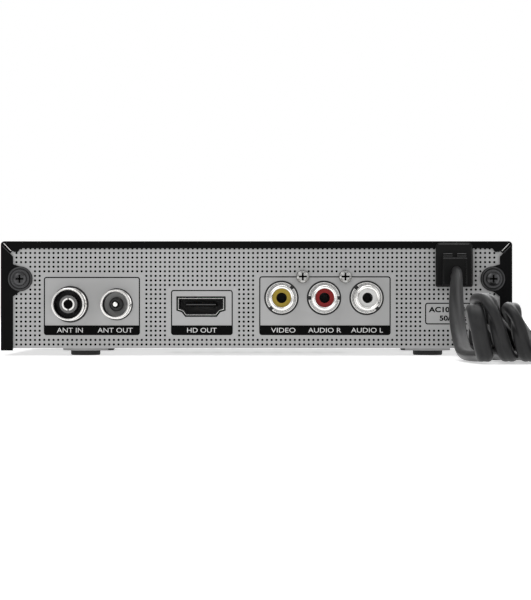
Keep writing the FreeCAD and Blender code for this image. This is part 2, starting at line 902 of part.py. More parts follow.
def video_port():
    """The digital video socket: a folded shell and the contact tongue inside it."""
    shell = new_body("video_port_shell")
    start = REAR - size.ShellWall
    end = start + size.VideoPortDepth
    extrude(shell, "XZ_Plane", start, end, [video_port_outline(size.VideoPortGap)])
    inside = video_port_outline(size.VideoPortGap + size.ShellWall)
    extrude(shell, "XZ_Plane", start, end - size.ShellWall * 4, [inside], away=True)
    tongue = block(
        "video_port_tongue",
        size.VideoPortAcross - size.VideoPortTongueWidth / 2,
        start + size.ShellWall * 3,
        (size.VideoPortTop + size.VideoPortBottom) / 2,
        size.VideoPortTongueWidth,
        size.VideoPortDepth - size.ShellWall * 7,
        size.VideoPortTongue,
    )
    keep(tongue, "video_port_tongue")


def notch_outline(x, angle):
    """A notch across one side of a phono jack's base ring, at an angle about the jack."""
    along = (math.cos(angle), math.sin(angle))
    half = size.JackNotch / 2
    near = size.JackBarrel / 2
    far = size.JackRing / 2 + half
    corners = ((near, -half), (far, -half), (far, half), (near, half))
    return polygon(
        *[
            (x + out * along[0] - side * along[1], size.JackUp + out * along[1] + side * along[0])
            for out, side in corners
        ]
    )


def phono_jacks():
    """Three phono jacks in one moulded block behind the panel."""
    face = PANEL_INSIDE
    left = JACKS[0] - size.BlockMargin
    right = JACKS[-1] + size.BlockMargin
    housing = new_body("phono_block")
    lugs = [
        rectangle(
            x - size.BlockLug / 2,
            size.BlockTop - size.BlockLug / 2,
            x + size.BlockLug / 2,
            size.BlockScrewUp + size.BlockLug / 2,
        )
        for x in JACK_SCREWS
    ]
    back = face + size.BlockDepth
    extrude(housing, "XZ_Plane", face, back, [rectangle(left, BOARD_TOP, right, size.BlockTop)])
    extrude(housing, "XZ_Plane", face, face + size.LugDepth, lugs)
    bores = [disc(x, size.JackUp, size.JackBarrel) for x in JACKS]
    extrude(housing, "XZ_Plane", face, face + size.BlockDepth / 2, bores, away=True)
    screw_holes = [disc(x, size.BlockScrewUp, size.ScrewShank) for x in JACK_SCREWS]
    extrude(housing, "XZ_Plane", face, face + size.ScrewLength, screw_holes, away=True)

    tip = REAR - size.JackReach
    root = face + size.BlockDepth / 2
    ring_face = REAR - size.JackRingProud
    for name, x in zip(NOTCH_ANGLES, JACKS):
        shell = new_body(f"{name}_jack_shell")
        profile = (
            (size.JackInsert / 2 + size.JackLip / 2, tip),
            (size.JackBarrel / 2 - size.JackLip / 2, tip),
            (size.JackBarrel / 2, tip + size.JackLip),
            (size.JackBarrel / 2, ring_face),
            (size.JackRing / 2, ring_face),
            (size.JackRing / 2, face),
            (size.JackBarrel / 2, face),
            (size.JackBarrel / 2, root),
            (size.JackInsert / 2, root),
            (size.JackInsert / 2, tip + size.JackLip),
        )
        turned(shell, x, size.JackUp, profile)
        notches = [notch_outline(x, NOTCH_ANGLES[name] + turn) for turn in (0, math.pi)]
        extrude(shell, "XZ_Plane", ring_face, face, notches, away=True)
        insert = new_body(f"{name}_jack_insert")
        profile = tube_profile(size.JackInsert, size.JackBore, tip + size.JackLip * 2, root)
        turned(insert, x, size.JackUp, profile)


# ---------------------------------------------------------------- front


def slot_outline(x, z, width, height, margin):
    """A rectangle about a point, grown all round by a margin."""
    half_width = length(width) / 2 + margin
    half_height = length(height) / 2 + margin
    return rectangle(x - half_width, z - half_height, x + half_width, z + half_height)


def memory_port_up():
    """The height of the middle of the memory-stick socket, which stands on the main board."""
    return BOARD_TOP + size.MemoryPortHeight / 2


def front_bezel():
    """The moulded front: a shallow tray open to the rear, with its window, button and port holes."""
    body = new_body("front_bezel")
    outline = rectangle(-HALF_WIDTH, size.SideBottom, HALF_WIDTH, size.CaseTop)
    extrude(body, "XZ_Plane", BEZEL_BACK, FRONT, [outline])

    def is_front_edge(edge):
        return edge.CenterOfMass.y > FRONT.value - TOUCHING

    softened(body, size.BezelEdge, is_front_edge)
    wall = size.BezelWall
    inside = rectangle(
        wall - HALF_WIDTH, size.SideBottom + wall, HALF_WIDTH - wall, size.CaseTop - wall
    )
    extrude(body, "XZ_Plane", BEZEL_BACK, BEZEL_INSIDE, [inside], away=True)
    gap = size.CapClearance
    holes = [
        rectangle(size.WindowLeft, size.WindowBottom, size.WindowRight, size.WindowTop),
        disc(size.PowerAcross, size.ButtonsUp, size.PowerCap + gap * 2),
        slot_outline(
            size.MemoryPortAcross, memory_port_up(), size.MemoryPortWidth, size.MemoryPortHeight, gap
        ),
    ]
    holes += [
        slot_outline(x, size.ButtonsUp, size.ChannelWidth, size.ChannelHeight, gap) for x in CHANNELS
    ]
    extrude(body, "XZ_Plane", BEZEL_INSIDE, FRONT, holes, away=True)


def display():
    """The smoked window, and the board, digits and remote receiver behind it."""
    window = block(
        "display_window",
        size.WindowLeft,
        BEZEL_INSIDE,
        size.WindowBottom,
        size.WindowRight - size.WindowLeft,
        size.BezelWall - size.WindowRecess,
        size.WindowTop - size.WindowBottom,
    )
    keep(window, "display_window")
    board = block(
        "display_board",
        size.FrontBoardLeft,
        FRONT_BOARD_FACE - size.BoardSheet,
        size.FrontBoardBottom,
        size.FrontBoardRight - size.FrontBoardLeft,
        size.BoardSheet,
        size.FrontBoardTop - size.FrontBoardBottom,
    )
    keep(board, "display_board")
    gap = BEZEL_INSIDE - FRONT_BOARD_FACE - size.ShellWall
    digits = block(
        "led_display",
        size.DigitsLeft,
        FRONT_BOARD_FACE,
        size.DigitsBottom,
        size.DigitsWidth,
        gap,
        size.DigitsHeight,
    )
    keep(digits, "led_display")
    base = block(
        "infrared_base",
        size.EyeAcross - size.SwitchSide / 2,
        FRONT_BOARD_FACE,
        size.ButtonsUp - size.SwitchSide / 2,
        size.SwitchSide,
        gap - size.EyeLens,
        size.SwitchSide,
    )
    lens = rod(
        "infrared_lens",
        size.EyeAcross,
        FRONT_BOARD_FACE + gap - size.EyeLens,
        size.ButtonsUp,
        size.EyeDiameter,
        size.EyeLens,
        "Y",
    )
    keep(group("infrared_receiver", [base, lens], joined=True), "infrared_receiver")


def push_button(name, x, outline, flange):
    """A cap held behind the bezel by its flange, the plunger it pushes and the switch it works."""
    cap = new_body(f"{name}_button")
    cap_front = FRONT + size.CapProud
    extrude(cap, "XZ_Plane", CAP_REAR, cap_front, [outline])

    def is_front_edge(edge):
        return edge.CenterOfMass.y > cap_front.value - TOUCHING

    softened(cap, size.CapClearance, is_front_edge)
    flange_front = BEZEL_INSIDE - size.ShellWall
    extrude(cap, "XZ_Plane", flange_front - size.CapFlange, flange_front, [flange])
    socket_floor = SWITCH_FRONT - size.PlungerSocket
    up = size.ButtonsUp
    plunger_back = socket_floor + size.CapTravel + size.ShellWall / 2
    plunger = rod(
        f"{name}_plunger", x, plunger_back, up, size.PlungerDiameter, CAP_REAR - plunger_back, "Y"
    )
    keep(plunger, f"{name}_plunger")
    case = block(
        f"{name}_switch_case",
        x - size.SwitchSide / 2,
        FRONT_BOARD_FACE,
        up - size.SwitchSide / 2,
        size.SwitchSide,
        size.SwitchDepth,
        size.SwitchSide,
    )
    socket_size = size.PlungerDiameter + size.ShellWall * 2
    socket = rod(f"{name}_switch_socket", x, socket_floor, up, socket_size, size.SwitchDepth, "Y")
    keep(cut(f"{name}_switch", case, [socket]), f"{name}_switch")


def push_buttons():
    """The round power button and the two channel buttons."""
    up = size.ButtonsUp
    reach = size.CapFlangeReach
    round_cap = disc(size.PowerAcross, up, size.PowerCap)
    round_flange = disc(size.PowerAcross, up, size.PowerCap + reach * 2)
    push_button("power", size.PowerAcross, round_cap, round_flange)
    for name, x in zip(("channel_up", "channel_down"), CHANNELS):
        cap = slot_outline(x, up, size.ChannelWidth, size.ChannelHeight, length(0))
        flange = slot_outline(x, up, size.ChannelWidth, size.ChannelHeight, reach)
        push_button(name, x, cap, flange)


def memory_port():
    """The memory-stick socket: a plated shell open to the front, with its contact tongue."""
    width = size.MemoryPortWidth
    height = size.MemoryPortHeight
    wall = size.ShellWall
    left = size.MemoryPortAcross - width / 2
    back = FRONT - size.ShellWall - size.MemoryPortDepth
    outer = block("memory_port_outer", left, back, BOARD_TOP, width, size.MemoryPortDepth, height)
    inner = block(
        "memory_port_inner",
        left + wall,
        back + wall,
        BOARD_TOP + wall,
        width - wall * 2,
        size.MemoryPortDepth,
        height - wall * 2,
    )
    keep(cut("memory_port_shell", outer, [inner]), "memory_port_shell")
    tongue = block(
        "memory_port_tongue",
        left + wall * 3,
        back + wall,
        memory_port_up(),
        width - wall * 6,
        size.MemoryPortTongueDepth + wall * 8,
        size.MemoryPortTongue,
    )
    keep(tongue, "memory_port_tongue")


# ---------------------------------------------------------------- boards


def placed_block(name, kind):
    """A component's box where its row of BLOCKS puts it, standing on the boards' upper face."""
    left, behind, width, depth, height = (
        getattr(size, kind + what) for what in ("Left", "Behind", "Width", "Depth", "Height")
    )
    return block(name, left, REAR + behind, BOARD_TOP, width, depth, height)


def boards():
    """The main board and the power board, each with its screw holes."""
    back = REAR + size.BoardRear
    for kind in ("Main", "Power"):
        left, right, depth = (getattr(size, kind + what) for what in ("Left", "Right", "Depth"))
        body = new_body(f"{kind.lower()}_board")
        outline = rectangle(left, back, right, back + depth)
        extrude(body, "XY_Plane", BOARD_BOTTOM, BOARD_TOP, [outline])
        holes = [disc(x, y, size.ScrewShank) for x, y in screw_places(kind)]
        extrude(body, "XY_Plane", BOARD_BOTTOM, BOARD_TOP, holes, away=True)


def board_screws():
    """The screws that hold both boards down on the standoffs."""
    body = new_body("board_screws")
    heads = [disc(x, y, size.BoardScrewHead) for x, y in screw_places()]
    head_top = BOARD_TOP + size.ScrewHeadHeight
    extrude(body, "XY_Plane", BOARD_TOP, head_top, heads)
    shanks = [disc(x, y, size.ScrewShank) for x, y in screw_places()]
    extrude(body, "XY_Plane", BOARD_BOTTOM, BOARD_TOP, shanks)


def tuner_can():
    """The tuner's folded screening can, open below."""
    outer = placed_block("tuner_outer", "Tuner")
    wall = size.CanWall
    inner = block(
        "tuner_inner",
        size.TunerLeft + wall,
        REAR + size.TunerBehind + wall,
        BOARD_TOP,
        size.TunerWidth - wall * 2,
        size.TunerDepth - wall * 2,
        size.TunerHeight - wall,
    )
    keep(cut("tuner_can", outer, [inner]), "tuner_can")


def heatsink():
    """A finned block on top of the processor."""
    body = new_body("processor_heatsink")
    bottom = BOARD_TOP + size.ProcessorHeight
    left = size.HeatsinkLeft
    back = REAR + size.HeatsinkBehind
    front = back + size.HeatsinkDepth
    base_top = bottom + size.FinBase
    base = rectangle(left, back, left + size.HeatsinkWidth, front)
    extrude(body, "XY_Plane", bottom, base_top, [base])
    fin = rectangle(left, back, left + size.FinSheet, front)
    first = extrude(body, "XY_Plane", base_top, bottom + size.HeatsinkHeight, [fin])
    repeated(body, [first], "X", size.HeatsinkWidth - size.FinSheet, size.FinCount)


def components():
    """The plain components that stand on the boards, one node each or one for a kind."""
    for name, kind in (
        ("processor_chip", "Processor"),
        ("memory_chip", "Memory"),
        ("mains_choke", "Choke"),
    ):
        keep(placed_block(name, kind), name)
    core = placed_block("transformer_core", "Transformer")
    winding = block(
        "transformer_winding",
        size.TransformerLeft - size.FinSheet,
        REAR + size.TransformerBehind + size.WindingInset,
        BOARD_TOP + size.WindingInset,
        size.TransformerWidth + size.FinSheet * 2,
        size.TransformerDepth - size.WindingInset * 2,
        size.TransformerHeight - size.WindingInset * 2,
    )
    keep(group("transformer", [core, winding], joined=True), "transformer")
    headers = [
        placed_block("main_header", "MainHeader"),
        placed_block("power_header", "PowerHeader"),
        placed_block("display_header", "DisplayHeader"),
    ]
    keep(group("ribbon_headers", headers), "ribbon_headers")
    keep(placed_block("mains_header", "MainsHeader"), "mains_header")
    cans = new_body("electrolytic_capacitors")
    for kind in CANS:
        across, behind, diameter, height = (
            getattr(size, kind + what) for what in ("Across", "Behind", "Diameter", "Height")
        )
        outline = disc(across, REAR + behind, diameter)
        extrude(cans, "XY_Plane", BOARD_TOP, BOARD_TOP + height, [outline])


def ribbons():
    """The flat cables from board to board and from the main board to the display board."""
    sheet_thickness = size.RibbonSheet
    start = size.MainHeaderLeft + size.MainHeaderWidth / 2
    end = size.PowerHeaderLeft + size.PowerHeaderWidth / 2
    foot = BOARD_TOP + size.MainHeaderHeight
    crest = foot + size.RibbonRise
    back = REAR + size.MainHeaderBehind + sheet_thickness
    front = back + size.MainHeaderDepth - sheet_thickness * 2
    link = new_body("power_ribbon")
    arch = polygon(
        (start, foot),
        (start, crest),
        (end, crest),
        (end, foot),
        (end - sheet_thickness, foot),
        (end - sheet_thickness, crest - sheet_thickness),
        (start + sheet_thickness, crest - sheet_thickness),
        (start + sheet_thickness, foot),
    )
    extrude(link, "XZ_Plane", back, front, [arch])
    display_link = new_body("display_ribbon")
    near = REAR + size.DisplayHeaderBehind + size.DisplayHeaderDepth / 2
    far = FRONT_BOARD_FACE - size.BoardSheet
    low = BOARD_TOP + size.DisplayHeaderHeight
    high = low + size.RibbonRise
    bend = polygon(
        (near, low),
        (near, high),
        (far, high),
        (far, high - sheet_thickness),
        (near + sheet_thickness, high - sheet_thickness),
        (near + sheet_thickness, low),
    )
    left = size.DisplayHeaderLeft + sheet_thickness
    right = left + size.DisplayHeaderWidth - sheet_thickness * 2
    extrude(display_link, "YZ_Plane", left, right, [bend])


# ---------------------------------------------------------------- cord


def grommet():
    """The snap-in strain relief: outer plate, neck in the panel's notch, inner plate and block."""
    middle = size.GrommetAcross

    def plate(width, bottom, top):
        return rectangle(middle - width / 2, bottom, middle + width / 2, top)

    body = new_body("cord_grommet")
    outer = plate(size.GrommetWidth, size.GrommetBottom, size.GrommetTop)
    extrude(body, "XZ_Plane", GROMMET_FACE, COVER_BACK, [outer])
    softened(body, size.GrommetCorner, lambda edge: runs_along(edge, "Y"))
    raised = plate(size.GrommetBlockWidth, size.GrommetBlockBottom, size.GrommetBlockTop)
    block_face = GROMMET_FACE - size.GrommetBlockDepth
    extrude(body, "XZ_Plane", block_face, GROMMET_FACE, [raised])
    neck_top = ROOF - size.CoverGap
    neck = plate(size.GrommetNeck, size.GrommetNeckBottom, neck_top)
    extrude(body, "XZ_Plane", COVER_BACK, PANEL_INSIDE, [neck])
    inner = plate(size.GrommetWidth, size.GrommetBottom + size.GrommetSheet, neck_top)
    extrude(body, "XZ_Plane", PANEL_INSIDE, PANEL_INSIDE + size.GrommetSheet, [inner])


def rounded_path(route):
    """The route as straight runs joined by tangent arcs, each as wide as its two runs allow."""
    points = [Vector(*point) for point in route]
    edges = []
    tangents = [points[0]]
    for before, corner, after in zip(points, points[1:], points[2:]):
        incoming = (corner - before).normalize()
        outgoing = (after - corner).normalize()
        half_turn = incoming.getAngle(outgoing) / 2
        reach = RUN_SHARE * min(before.distanceToPoint(corner), corner.distanceToPoint(after))
        start = corner - incoming * reach
        end = corner + outgoing * reach
        radius = reach / math.tan(half_turn)
        inward = (outgoing - incoming).normalize()
        middle = corner + inward * (radius / math.cos(half_turn) - radius)
        print(f"cord bend at {corner.x:.0f}, {corner.y:.0f}, {corner.z:.0f}: radius {radius:.1f} mm")
        edges.append(Part.LineSegment(tangents[-1], start).toShape())
        edges.append(Part.Arc(start, middle, end).toShape())
        tangents.append(end)
    edges.append(Part.LineSegment(tangents[-1], points[-1]).toShape())
    return Part.Wire(edges)


def flat_section(start, direction, width, thickness):
    """The cord's section at its start: flat sides up and down, round edges."""
    side = direction.cross(LINE_AXIS["Z"]).normalize()
    top = side.cross(direction).normalize()
    half_flat = (width - thickness) / 2
    radius = thickness / 2

    def at(across, up):
        return start + side * across + top * up

    return Part.Wire(
        [
            Part.LineSegment(at(-half_flat, radius), at(half_flat, radius)).toShape(),
            Part.Arc(at(half_flat, radius), at(half_flat + radius, 0), at(half_flat, -radius)).toShape(),
            Part.LineSegment(at(half_flat, -radius), at(-half_flat, -radius)).toShape(),
            Part.Arc(
                at(-half_flat, -radius), at(-half_flat - radius, 0), at(-half_flat, radius)
            ).toShape(),
        ]
    )


def cord_solid(route, width, thickness):
    """The swept solid of one stretch of cord, its volume checked against its section and length."""
    path = rounded_path(route)
    start = Vector(*route[0])
    section = flat_section(start, (Vector(*route[1]) - start).normalize(), width, thickness)
    solid = path.makePipeShell([section], True, False)
    expected = Part.Face(section).Area * path.Length
    print(f"cord stretch {path.Length:.1f} mm, volume {solid.Volume:.0f} of {expected:.0f} mm3")
    if abs(solid.Volume - expected) > VOLUME_TOLERANCE * expected:
        raise ValueError("a cord stretch isn't its section swept along its route")
    return solid


def shape_part(name, shape, placement=Placement()):
    """A sub-part whose shape is made here, from the sheet's values, and then placed."""
    feature = doc.addObject("Part::Feature", name)
    feature.Shape = shape
    feature.Placement = placement
    return keep(feature, name)


def shape_of(name):
    """The shape of a sub-part that is already made."""
    return next(obj.Shape for obj in parts if obj.Label == name)


def hank_placement():
    """The frame of the hank, from its near end: x across it, y along it."""
    turn = Rotation(LINE_AXIS["Z"], -size.HankTurn.value)
    near = Vector(size.HankAcross.value, (REAR - size.HankNear).value, 0)
    return Placement(near, turn)


def hank_solid():
    """The outer shape of the folded cord: tall folds at both ends and a waist where it is tied."""
    bottom = size.HankBottom.value
    top = size.HankTop.value
    left = size.HankLeft.value
    right = size.HankRight.value
    far = size.HankLength.value
    shoulder = size.HankShoulder.value
    waist_start = size.WaistStart.value
    waist_end = size.WaistEnd.value
    radius = (top - bottom) / 2
    middle = bottom + radius

    def line(start, end):
        return Part.LineSegment(Vector(left, *start), Vector(left, *end)).toShape()

    def fold(start, nose, end):
        return Part.Arc(Vector(left, *start), Vector(left, *nose), Vector(left, *end)).toShape()

    upper = [
        (radius, top),
        (shoulder, top),
        (waist_start, size.WaistTop.value),
        (waist_end, size.WaistTop.value),
        (far - shoulder, top),
        (far - radius, top),
    ]
    edges = [line(start, end) for start, end in zip(upper, upper[1:])]
    edges.append(fold(upper[-1], (far, middle), (far - radius, bottom)))
    edges.append(line((far - radius, bottom), (radius, bottom)))
    edges.append(fold((radius, bottom), (0, middle), upper[0]))
    side_view = Part.Face(Part.Wire(edges)).extrude(Vector(right - left, 0, 0))

    waist_left = size.WaistLeft.value
    waist_right = size.WaistRight.value
    plan = [
        (left, 0),
        (right, 0),
        (right, radius),
        (waist_right, waist_start),
        (waist_right, far),
        (waist_left, far),
        (waist_left, waist_start),
        (left, radius),
    ]
    outline = Part.makePolygon([Vector(x, y, bottom) for x, y in [*plan, plan[0]]])
    return side_view.common(Part.Face(outline).extrude(Vector(0, 0, top - bottom)))


def tie_solid():
    """The band round the hank's waist."""
    thick = size.TieSheet.value
    across = (size.WaistRight - size.WaistLeft).value
    height = (size.WaistTop - size.HankBottom).value
    width = size.TieWidth.value
    start = ((size.WaistStart + size.WaistEnd - size.TieWidth) / 2).value
    inner_corner = Vector(size.WaistLeft.value, start, size.HankBottom.value)
    outer_corner = inner_corner - Vector(thick, 0, thick)
    outer = Part.makeBox(across + thick * 2, width, height + thick * 2, outer_corner)
    return outer.cut(Part.makeBox(across, width, height, inner_corner))


def cord():
    """The lead, the hank with its tie, and the tail to the plug."""
    width = size.CordWidth.value
    thickness = size.CordThickness.value
    hank = shape_part("power_cord_hank", hank_solid(), hank_placement()).Shape
    lead = cord_solid(LEAD_ROUTE, width, thickness)
    shape_part("power_cord_lead", lead.cut([hank, shape_of("cord_grommet")]))
    tail = cord_solid(TAIL_ROUTE, width, thickness)
    shape_part("power_cord_tail", tail.cut([hank, shape_of("plug_body")]))
    shape_part("cord_tie", tie_solid(), hank_placement())


def plug():
    """The flat two-pin plug lying beside the receiver, its pins pointing forward."""
    x, y, z = (length(number) for number in TAIL_ROUTE[-1])
    neck = size.PlugNeck / 2
    waist = size.PlugWaist / 2
    half = size.PlugWidth / 2
    end = y + size.PlugLength
    body = new_body("plug_body")
    outline = polygon(
        (x - neck, y),
        (x + neck, y),
        (x + waist, y + size.PlugWaistAlong),
        (x + half, y + size.PlugShoulderAlong),
        (x + half, end),
        (x - half, end),
        (x - half, y + size.PlugShoulderAlong),
        (x - waist, y + size.PlugWaistAlong),
    )
    bottom = z - size.PlugThickness / 2
    extrude(body, "XY_Plane", bottom, bottom + size.PlugThickness, [outline])
    softened(body, size.PlugEdge, lambda edge: runs_along(edge, "Z"))
    pins = [
        rod(f"pin_{name}", x + size.PinSpacing * side / 2, end, z, size.PinDiameter, size.PinLength, "Y")
        for name, side in (("left", -1), ("right", 1))
    ]
    keep(group("plug_pins", pins), "plug_pins")


def mains_leads():
    """The two insulated conductors from the grommet to the header on the power board."""
    start_y = (PANEL_INSIDE + size.GrommetSheet).value
    end_z = (BOARD_TOP + size.MainsHeaderHeight).value
    up = LEAD_ROUTE[0][2]
    diameter = size.LeadDiameter.value
    leads = []
    for side in (-1, 1):
        x = size.GrommetAcross.value + side * size.LeadSpacing.value / 2
        bend_y = start_y + size.MainsHeaderDepth.value
        route = ((x, start_y, up), (x, bend_y, up), (x, bend_y, end_z))
        path = rounded_path(route)
        circle = Part.Circle(Vector(*route[0]), LINE_AXIS["Y"], diameter / 2).toShape()
        leads.append(path.makePipeShell([Part.Wire([circle])], True, False))
    shape_part("mains_leads", Part.makeCompound(leads))


# ---------------------------------------------------------------- the receiver


def check_and_write():
    """Stops at any failed object or bad shape, then writes one STEP file for each sub-part."""
    doc.recompute()
    failed = [obj.Name for obj in doc.Objects if {"Invalid", "Error"} & set(obj.State)]
    if failed:
        raise ValueError(f"these objects failed: {failed}")
    os.makedirs("parts", exist_ok=True)
    for obj in parts:
        if obj.Shape.isNull() or not obj.Shape.isValid() or not obj.Shape.Solids:
            raise ValueError(f"{obj.Label} has no valid solid")
        obj.Shape.exportStep(f"parts/{obj.Label}.step")
        print(f"{obj.Label}: {len(obj.Shape.Solids)} solid(s), {obj.Shape.Volume:.0f} mm3")


for make in (
    chassis_tray,
    top_cover,
    rubber_feet,
    cover_screws,
    phono_screws,
    aerial_sockets,
    video_port,
    phono_jacks,
    front_bezel,
    display,
    push_buttons,
    memory_port,
    boards,
    board_screws,
    tuner_can,
    heatsink,
    components,
    ribbons,
    grommet,
    plug,
    cord,
    mains_leads,
):
    make()
check_and_write()
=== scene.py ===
"""Looks for the set-top digital television receiver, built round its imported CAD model.

Lengths in the tables below are in millimetres, in the model's own frame: X to the right when
looking at the rear panel, +Y towards the front bezel, +Z up from the surface that the feet stand on.
"""
import math

import bmesh
import bpy
from mathutils import Matrix, Vector


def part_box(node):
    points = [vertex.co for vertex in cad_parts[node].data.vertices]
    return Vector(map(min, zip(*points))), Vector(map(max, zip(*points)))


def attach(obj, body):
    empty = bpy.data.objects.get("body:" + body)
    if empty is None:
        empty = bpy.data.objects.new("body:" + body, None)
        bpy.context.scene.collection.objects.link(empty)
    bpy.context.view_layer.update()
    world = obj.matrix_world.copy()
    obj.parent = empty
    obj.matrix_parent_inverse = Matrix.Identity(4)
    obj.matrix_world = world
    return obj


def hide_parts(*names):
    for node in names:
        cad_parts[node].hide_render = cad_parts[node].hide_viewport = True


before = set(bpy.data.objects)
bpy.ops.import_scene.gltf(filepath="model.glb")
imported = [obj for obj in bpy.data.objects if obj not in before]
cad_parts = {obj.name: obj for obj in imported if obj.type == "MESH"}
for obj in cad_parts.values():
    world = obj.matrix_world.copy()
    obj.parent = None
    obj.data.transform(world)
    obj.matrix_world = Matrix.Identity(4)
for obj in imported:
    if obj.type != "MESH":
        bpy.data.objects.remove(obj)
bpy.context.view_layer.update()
scene = bpy.context.scene

MM = 0.001
CASE = "receiver"
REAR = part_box("chassis_tray")[0].y / MM
COVER_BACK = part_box("top_cover")[0].y / MM
INK = 0.03

# ---- camera and light

CAMERA_ACROSS = 2.96
CAMERA_UP = 18.3
CAMERA_DISTANCE = 750.0
LENS = 136.9
SENSOR_WIDTH = 36.0

# The room that the metal mirrors: the direction of its bands, then each band's place and grey.
ROOM_SLANT = (0.95, 0.1, 0.3)
ROOM_BANDS = (
    (0.0, 0.75),
    (0.2, 0.5),
    (0.3, 0.2),
    (0.4, 0.95),
    (0.5, 0.55),
    (0.56, 0.22),
    (0.66, 1.0),
    (0.78, 0.3),
    (0.88, 0.85),
    (1.0, 0.6),
)
FLOOR_GLOW = 0.5
FLOOR_SIZE = 12.0
BACKDROP = (1.0, 1.0, 1.0, 1)

# Each lamp's name, place and target in metres, width, height and watts.
LAMPS = (
    ("key_lamp", (-0.6, -1.0, 0.8), (0, 0, 0.02), 1.1, 0.7, 3.5),
    ("fill_lamp", (0.95, -0.9, 0.45), (0, 0, 0.02), 0.6, 0.8, 1.5),
    ("top_lamp", (0, 0.1, 1.1), (0, 0, 0.02), 1.0, 0.6, 5),
    ("front_lamp", (0.3, 1.2, 0.7), (0, 0, 0.02), 0.8, 0.5, 4),
)


def point(x, y, z):
    """A point in metres from millimetres."""
    return Vector((x, y, z)) * MM


def add_camera():
    """The camera square to the rear panel."""
    data = bpy.data.cameras.new("camera")
    data.lens = LENS
    data.sensor_width = SENSOR_WIDTH
    data.clip_start = 0.01
    data.clip_end = 50.0
    camera = bpy.data.objects.new("camera", data)
    camera.location = point(CAMERA_ACROSS, REAR - CAMERA_DISTANCE, CAMERA_UP)
    camera.rotation_euler = (math.pi / 2, 0, 0)
    scene.collection.objects.link(camera)
    scene.camera = camera


def add_lamp(name, place, target, width, height, power):
    """A soft rectangular lamp turned to its target, in metres and watts."""
    data = bpy.data.lights.new(name, "AREA")
    data.shape = "RECTANGLE"
    data.size = width
    data.size_y = height
    data.energy = power
    lamp = bpy.data.objects.new(name, data)
    lamp.location = place
    lamp.rotation_euler = (Vector(target) - Vector(place)).to_track_quat("-Z", "Y").to_euler()
    scene.collection.objects.link(lamp)


def fill(node, values):
    """Sets a shader node's inputs: a value that is another node's output is linked."""
    for name, value in values.items():
        if isinstance(value, bpy.types.NodeSocket):
            node.id_data.links.new(value, node.inputs[name])
        else:
            node.inputs[name].default_value = value
    return node


def grow(tree, kind, values=None, operation=None):
    """A new shader node with its inputs filled."""
    node = tree.nodes.new("ShaderNode" + kind)
    if operation:
        node.operation = operation
    return fill(node, values or {})


def add_light():
    """A banded room for the metal to mirror, a white backdrop for the camera alone, and the lamps."""
    world = bpy.data.worlds.new("room")
    scene.world = world
    world.use_nodes = True
    tree = world.node_tree
    direction = grow(tree, "TexCoord").outputs["Generated"]
    slant = grow(tree, "VectorMath", {0: direction, 1: ROOM_SLANT}, "DOT_PRODUCT")
    spread = grow(tree, "MapRange", {"Value": slant.outputs["Value"], "From Min": -1.0})
    ramp = grow(tree, "ValToRGB", {0: spread.outputs[0]})
    stops = ramp.color_ramp.elements
    while len(stops) < len(ROOM_BANDS):
        stops.new(0.5)
    for stop, (place, grey) in zip(stops, ROOM_BANDS):
        stop.position = place
        stop.color = (grey, grey, grey, 1)
    seen = grow(tree, "Mix", {0: grow(tree, "LightPath").outputs["Is Camera Ray"]})
    seen.data_type = "RGBA"
    sides = [socket for socket in seen.inputs if socket.type == "RGBA"]
    sides[1].default_value = BACKDROP
    tree.links.new(ramp.outputs[0], sides[0])
    mixed = next(socket for socket in seen.outputs if socket.type == "RGBA")
    fill(tree.nodes["Background"], {"Color": mixed})
    for lamp in LAMPS:
        add_lamp(*lamp)


def add_floor():
    """The plain pale floor."""
    bpy.ops.mesh.primitive_plane_add(size=FLOOR_SIZE, location=(0, 0, 0))
    floor = bpy.context.object
    floor.name = "floor"
    paper = surface("floor_paper", (0.86, 0.86, 0.86), 0.02, 0.75, grain=60, relief=0, shine=0.1)
    floor.data.materials.append(glowing(paper, (1, 1, 1), FLOOR_GLOW))


# ---- materials

# The stretch of the noise that is spread over a finish's whole change of colour and gloss.
NOISE_SPAN = (0.3, 0.7)
BROAD_SHARE = 1 / 30


def surface(
    name,
    colour,
    change,
    rough,
    metal=0.0,
    grain=900.0,
    relief=0.02,
    stretch=(1, 1, 1),
    coat=0.0,
    rough_change=0.06,
    shine=0.5,
):
    """A finish whose colour, gloss and fine relief vary with noise: grain is in cycles per metre."""
    material = bpy.data.materials.new(name)
    material.use_nodes = True
    tree = material.node_tree
    here = grow(tree, "TexCoord").outputs["Object"]
    spread = grow(tree, "Mapping", {"Vector": here, "Scale": [grain * number for number in stretch]})
    fine = grow(tree, "TexNoise", {"Vector": spread.outputs[0], "Detail": 4.0}).outputs["Fac"]
    broad = grow(tree, "TexNoise", {"Vector": here, "Scale": grain * BROAD_SHARE}).outputs["Fac"]
    half = grow(tree, "Math", {0: fine, 1: 0.5}, "MULTIPLY").outputs[0]
    both = grow(tree, "Math", {0: broad, 1: 0.5, 2: half}, "MULTIPLY_ADD").outputs[0]
    ramp = grow(tree, "ValToRGB", {0: both})
    for stop, place, share in zip(ramp.color_ramp.elements, NOISE_SPAN, (1 - change, 1 + change)):
        stop.position = place
        stop.color = (*[min(1.0, part * share) for part in colour], 1)
    gloss = {
        "Value": both,
        "From Min": NOISE_SPAN[0],
        "From Max": NOISE_SPAN[1],
        "To Min": max(0.02, rough - rough_change),
        "To Max": min(1.0, rough + rough_change),
    }
    shader = {
        "Metallic": metal,
        "Specular IOR Level": shine,
        "Coat Weight": coat,
        "Coat Roughness": 0.05,
        "Base Color": ramp.outputs[0],
        "Roughness": grow(tree, "MapRange", gloss).outputs[0],
    }
    if relief:
        bump = grow(tree, "Bump", {"Height": fine, "Strength": 0.5, "Distance": relief * MM})
        shader["Normal"] = bump.outputs[0]
    fill(tree.nodes["Principled BSDF"], shader)
    return material


